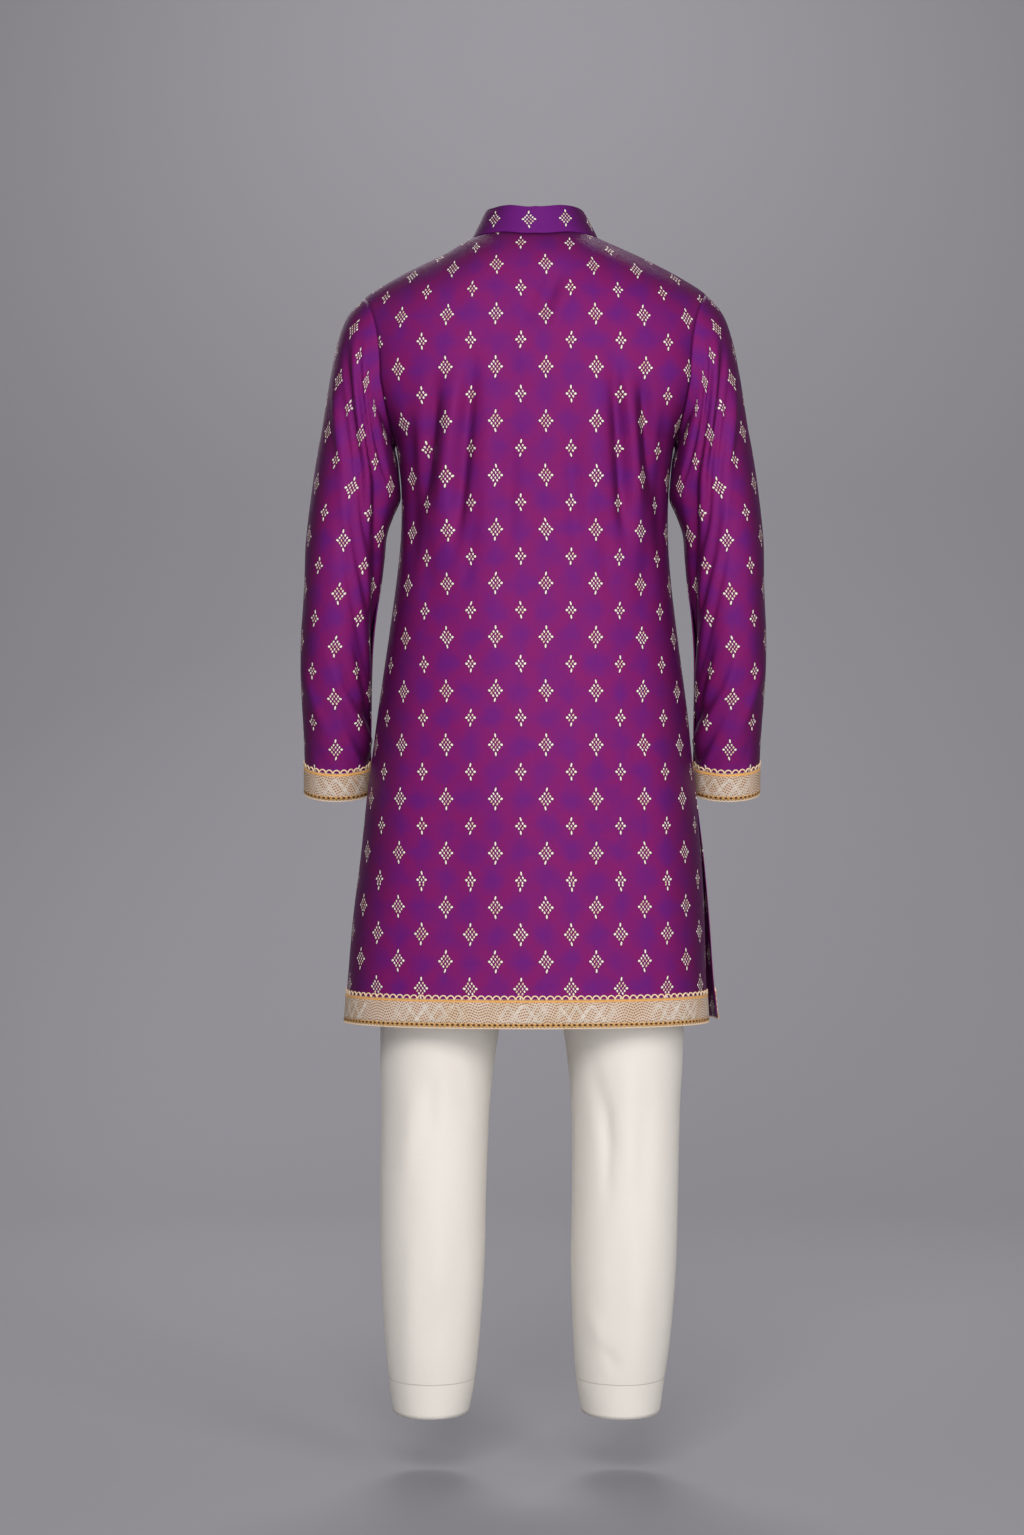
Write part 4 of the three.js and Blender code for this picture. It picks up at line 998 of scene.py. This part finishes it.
# Trousers.
# Straight trousers of ivory cotton twill, a back and a front panel for each leg, with a turned and
# stitched hem; under the kurta they close with a plain waistband.
trouser_levels = {
    "z": [-1478, -1440, -1385, -1300, -1200, -1100, -1040, -980, -900, -820, -760, -722, -698, -672,
          -640, -610, -575, -540, -500],
    "left_out": [178, 183.5, 189, 193.5, 194.8, 194, 194.8, 195, 193, 189, 185, 183, 182, 180, 178, 175,
                 169, 162, 156],
    "left_in": [84, 76.5, 70.5, 64.5, 62, 58, 52, 43, 30, 17, 6, 0, 0, 0, 0, 0, 0, 0, 0],
    "right_out": [157, 162.5, 170, 177, 180, 182.5, 186, 188, 189, 187, 185, 183, 182, 180, 178, 175,
                  169, 162, 156],
    "right_in": [59, 52.5, 48.5, 45.5, 47, 46.5, 42, 34, 27, 16, 6, 0, 0, 0, 0, 0, 0, 0, 0],
    "y": [8, 9, 11, 12, 9, 3, 1, 0, 0, 0, 0, 0, 0, 0, 0, 0, 0, 0, 0],
    "back": [58, 60, 64, 69, 73, 76, 80, 85, 93, 101, 107, 107, 109, 113, 118, 118, 112, 104, 98],
    "front": [58, 60, 62, 65, 69, 75, 79, 83, 88, 92, 95, 96, 97, 98, 98, 97, 96, 96, 95],
    "sweep": [180, 180, 180, 180, 180, 180, 180, 180, 180, 180, 180, 180, 150, 126, 108, 97, 90, 90, 90],
}
leg_columns = 7
waist_seam, waist_top = -540, -500
leg_end, trouser_hem = -1478, 43
# Folds of the trousers, (x, z) to (x, z), width and lift, seen from the back and from the front.
trouser_folds = {
    "back": [
        (128, -1050, 132, -1125, 8, -2.6), (108, -1020, 84, -1110, 10, -2),
        (150, -1060, 160, -1180, 12, 2.2), (-88, -1070, -90, -1215, 7, -3),
        (-70, -1030, -98, -1160, 9, -2.4), (-112, -1020, -118, -1200, 12, 2.4),
        (-140, -1060, -128, -1240, 12, -1.8), (-82, -1380, -104, -1420, 7, -2),
        (-64, -1340, -92, -1400, 8, 1.8), (112, -1330, 136, -1400, 9, -1.8),
        (96, -1240, 104, -1420, 14, -1.6), (150, -1220, 158, -1440, 13, 1.8),
        (-132, -1280, -126, -1450, 14, 1.8), (126, -1180, 122, -1340, 16, 1.6),
        (-104, -1240, -100, -1380, 13, -1.6),
    ],
    "front": [
        (124, -1000, 128, -1440, 9, 3.2), (-112, -1000, -110, -1440, 9, 3.2),
        (96, -1060, 84, -1160, 10, -2.2), (-84, -1050, -74, -1150, 10, -2.2),
        (156, -1080, 162, -1220, 13, -1.8), (-148, -1090, -150, -1230, 13, -1.8),
        (100, -1330, 116, -1410, 9, -1.8), (-90, -1340, -104, -1410, 9, -1.8),
        (148, -1300, 152, -1440, 12, -1.5), (-136, -1310, -134, -1440, 12, -1.5),
    ],
}
leg_grid = np.linspace(0, leg_columns, leg_columns * 6 + 1)
leg_share = np.unique(np.round([*leg_grid, 0.03, 0.08, 6.92, 6.97], 3))


def trouser_points(side, face, heights):
    """Rows of an arc: x = out - r + r * cos(a) and y = y + depth * sin(a), a from 0 to the sweep, with
    r = (out - in) / (1 - cos(sweep))."""
    row = {k: curve(trouser_levels["z"], v, heights)[:, None] for k, v in trouser_levels.items()}
    name = "left" if side > 0 else "right"
    inner = np.where(row["z"] >= -722, 0, row[f"{name}_in"])
    sweep = np.radians(np.where(row["z"] < -722, 180, row["sweep"]))
    radius = (row[f"{name}_out"] - inner) / (1 - np.cos(sweep))
    angle = sweep * leg_share / leg_columns
    depth = row["back"] if face == "back" else -row["front"]
    x = row[f"{name}_out"] - radius + radius * np.cos(angle)
    y = row["y"] + depth * np.sin(angle)
    return np.stack([side * x, y, np.broadcast_to(row["z"], x.shape)], axis=-1)


def cotton_material():
    """Ivory twill with a fine rib and a line of stitching above the hem."""
    material, n, shader = new_cloth_material("cotton", 0.8, 0.12, (1, 0.97, 0.92))
    cloth = cloth_place(n)
    u, v = n.split(cloth)
    twill = group_node(n, weave, Cloth=cloth, Rib=0.7)
    tone = n.mix(twill["Slub"], (0.78, 0.72, 0.65, 1), (0.83, 0.785, 0.715, 1))
    hem_line = n.ramp(n.size(n.minus(v, trouser_hem)), 0.9, 0.4)
    stitch = n.ramp(n.math("SINE", n.times(u, 2.1)), -0.5, 0.0)
    sewn = n.times(hem_line, stitch)
    tone = n.mix(n.times(hem_line, 0.35), tone, (0.50, 0.43, 0.36, 1))
    n.fill(shader.inputs["Base Color"], tone)
    height = n.times_plus(sewn, 0.5, n.times(twill["Height"], 0.12))
    bump(n, shader, n.minus(height, n.times(hem_line, 0.9)), 0.0008)
    return material


cotton = cotton_material()
leg_levels = trouser_levels["z"][:-1]
trouser_steps = np.interp(np.linspace(0, 17, 17 * 8 + 1), np.arange(18), leg_levels)
for side, side_name in ((1, "left"), (-1, "right")):
    for face in ("back", "front"):
        plain = trouser_points(side, face, trouser_steps)
        turn = side if face == "back" else -side
        outward = grid_normals(plain) * turn
        z = plain[..., 2]
        from_seam = np.minimum(leg_share, leg_columns - leg_share)[None]
        fade = smooth(from_seam / 2) * smooth((z - leg_end) / 30) * smooth((-960 - z) / 60)
        lift = fold_lift(trouser_folds[face], plain[..., 0], z) * fade
        walked = lengths_along(plain, 1)
        edge = np.minimum(walked, walked[:, -1:] - walked)
        hem_up = z - leg_end
        dip = seam_dip(edge, 0.6, 2.0) + seam_dip(hem_up - trouser_hem, 0.35, 2.5)
        pressed = plain + outward * (lift - dip)[..., None]
        order = slice(None) if turn > 0 else slice(None, None, -1)
        piece = grid_mesh(f"trouser_{side_name}_{face}_cloth", pressed[:, order] * mm)
        put_cloth_map(piece, walked[:, order], hem_up[:, order])
        thicken(piece, 1.0)
        piece.data.materials.append(cotton)
        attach(piece, "root")
        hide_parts(f"trouser_{side_name}_{face}")

waist_heights = np.linspace(waist_seam, waist_top, 7)
quarter = {(side, face): trouser_points(side, face, waist_heights)
           for side in (1, -1) for face in ("back", "front")}
waist_ring = np.concatenate([quarter[1, "back"][:, :-1], quarter[-1, "back"][:, ::-1][:, :-1],
                             quarter[-1, "front"][:, :-1], quarter[1, "front"][:, ::-1]], axis=1)
waistband = grid_mesh("waistband_band", waist_ring * mm)
waist_walked = lengths_along(waist_ring, 1)
put_cloth_map(waistband, waist_walked, np.broadcast_to(waist_ring[..., 2] + 700, waist_walked.shape))
thicken(waistband, 2.6)
waistband.data.materials.append(cotton)
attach(waistband, "root")
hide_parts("waistband")
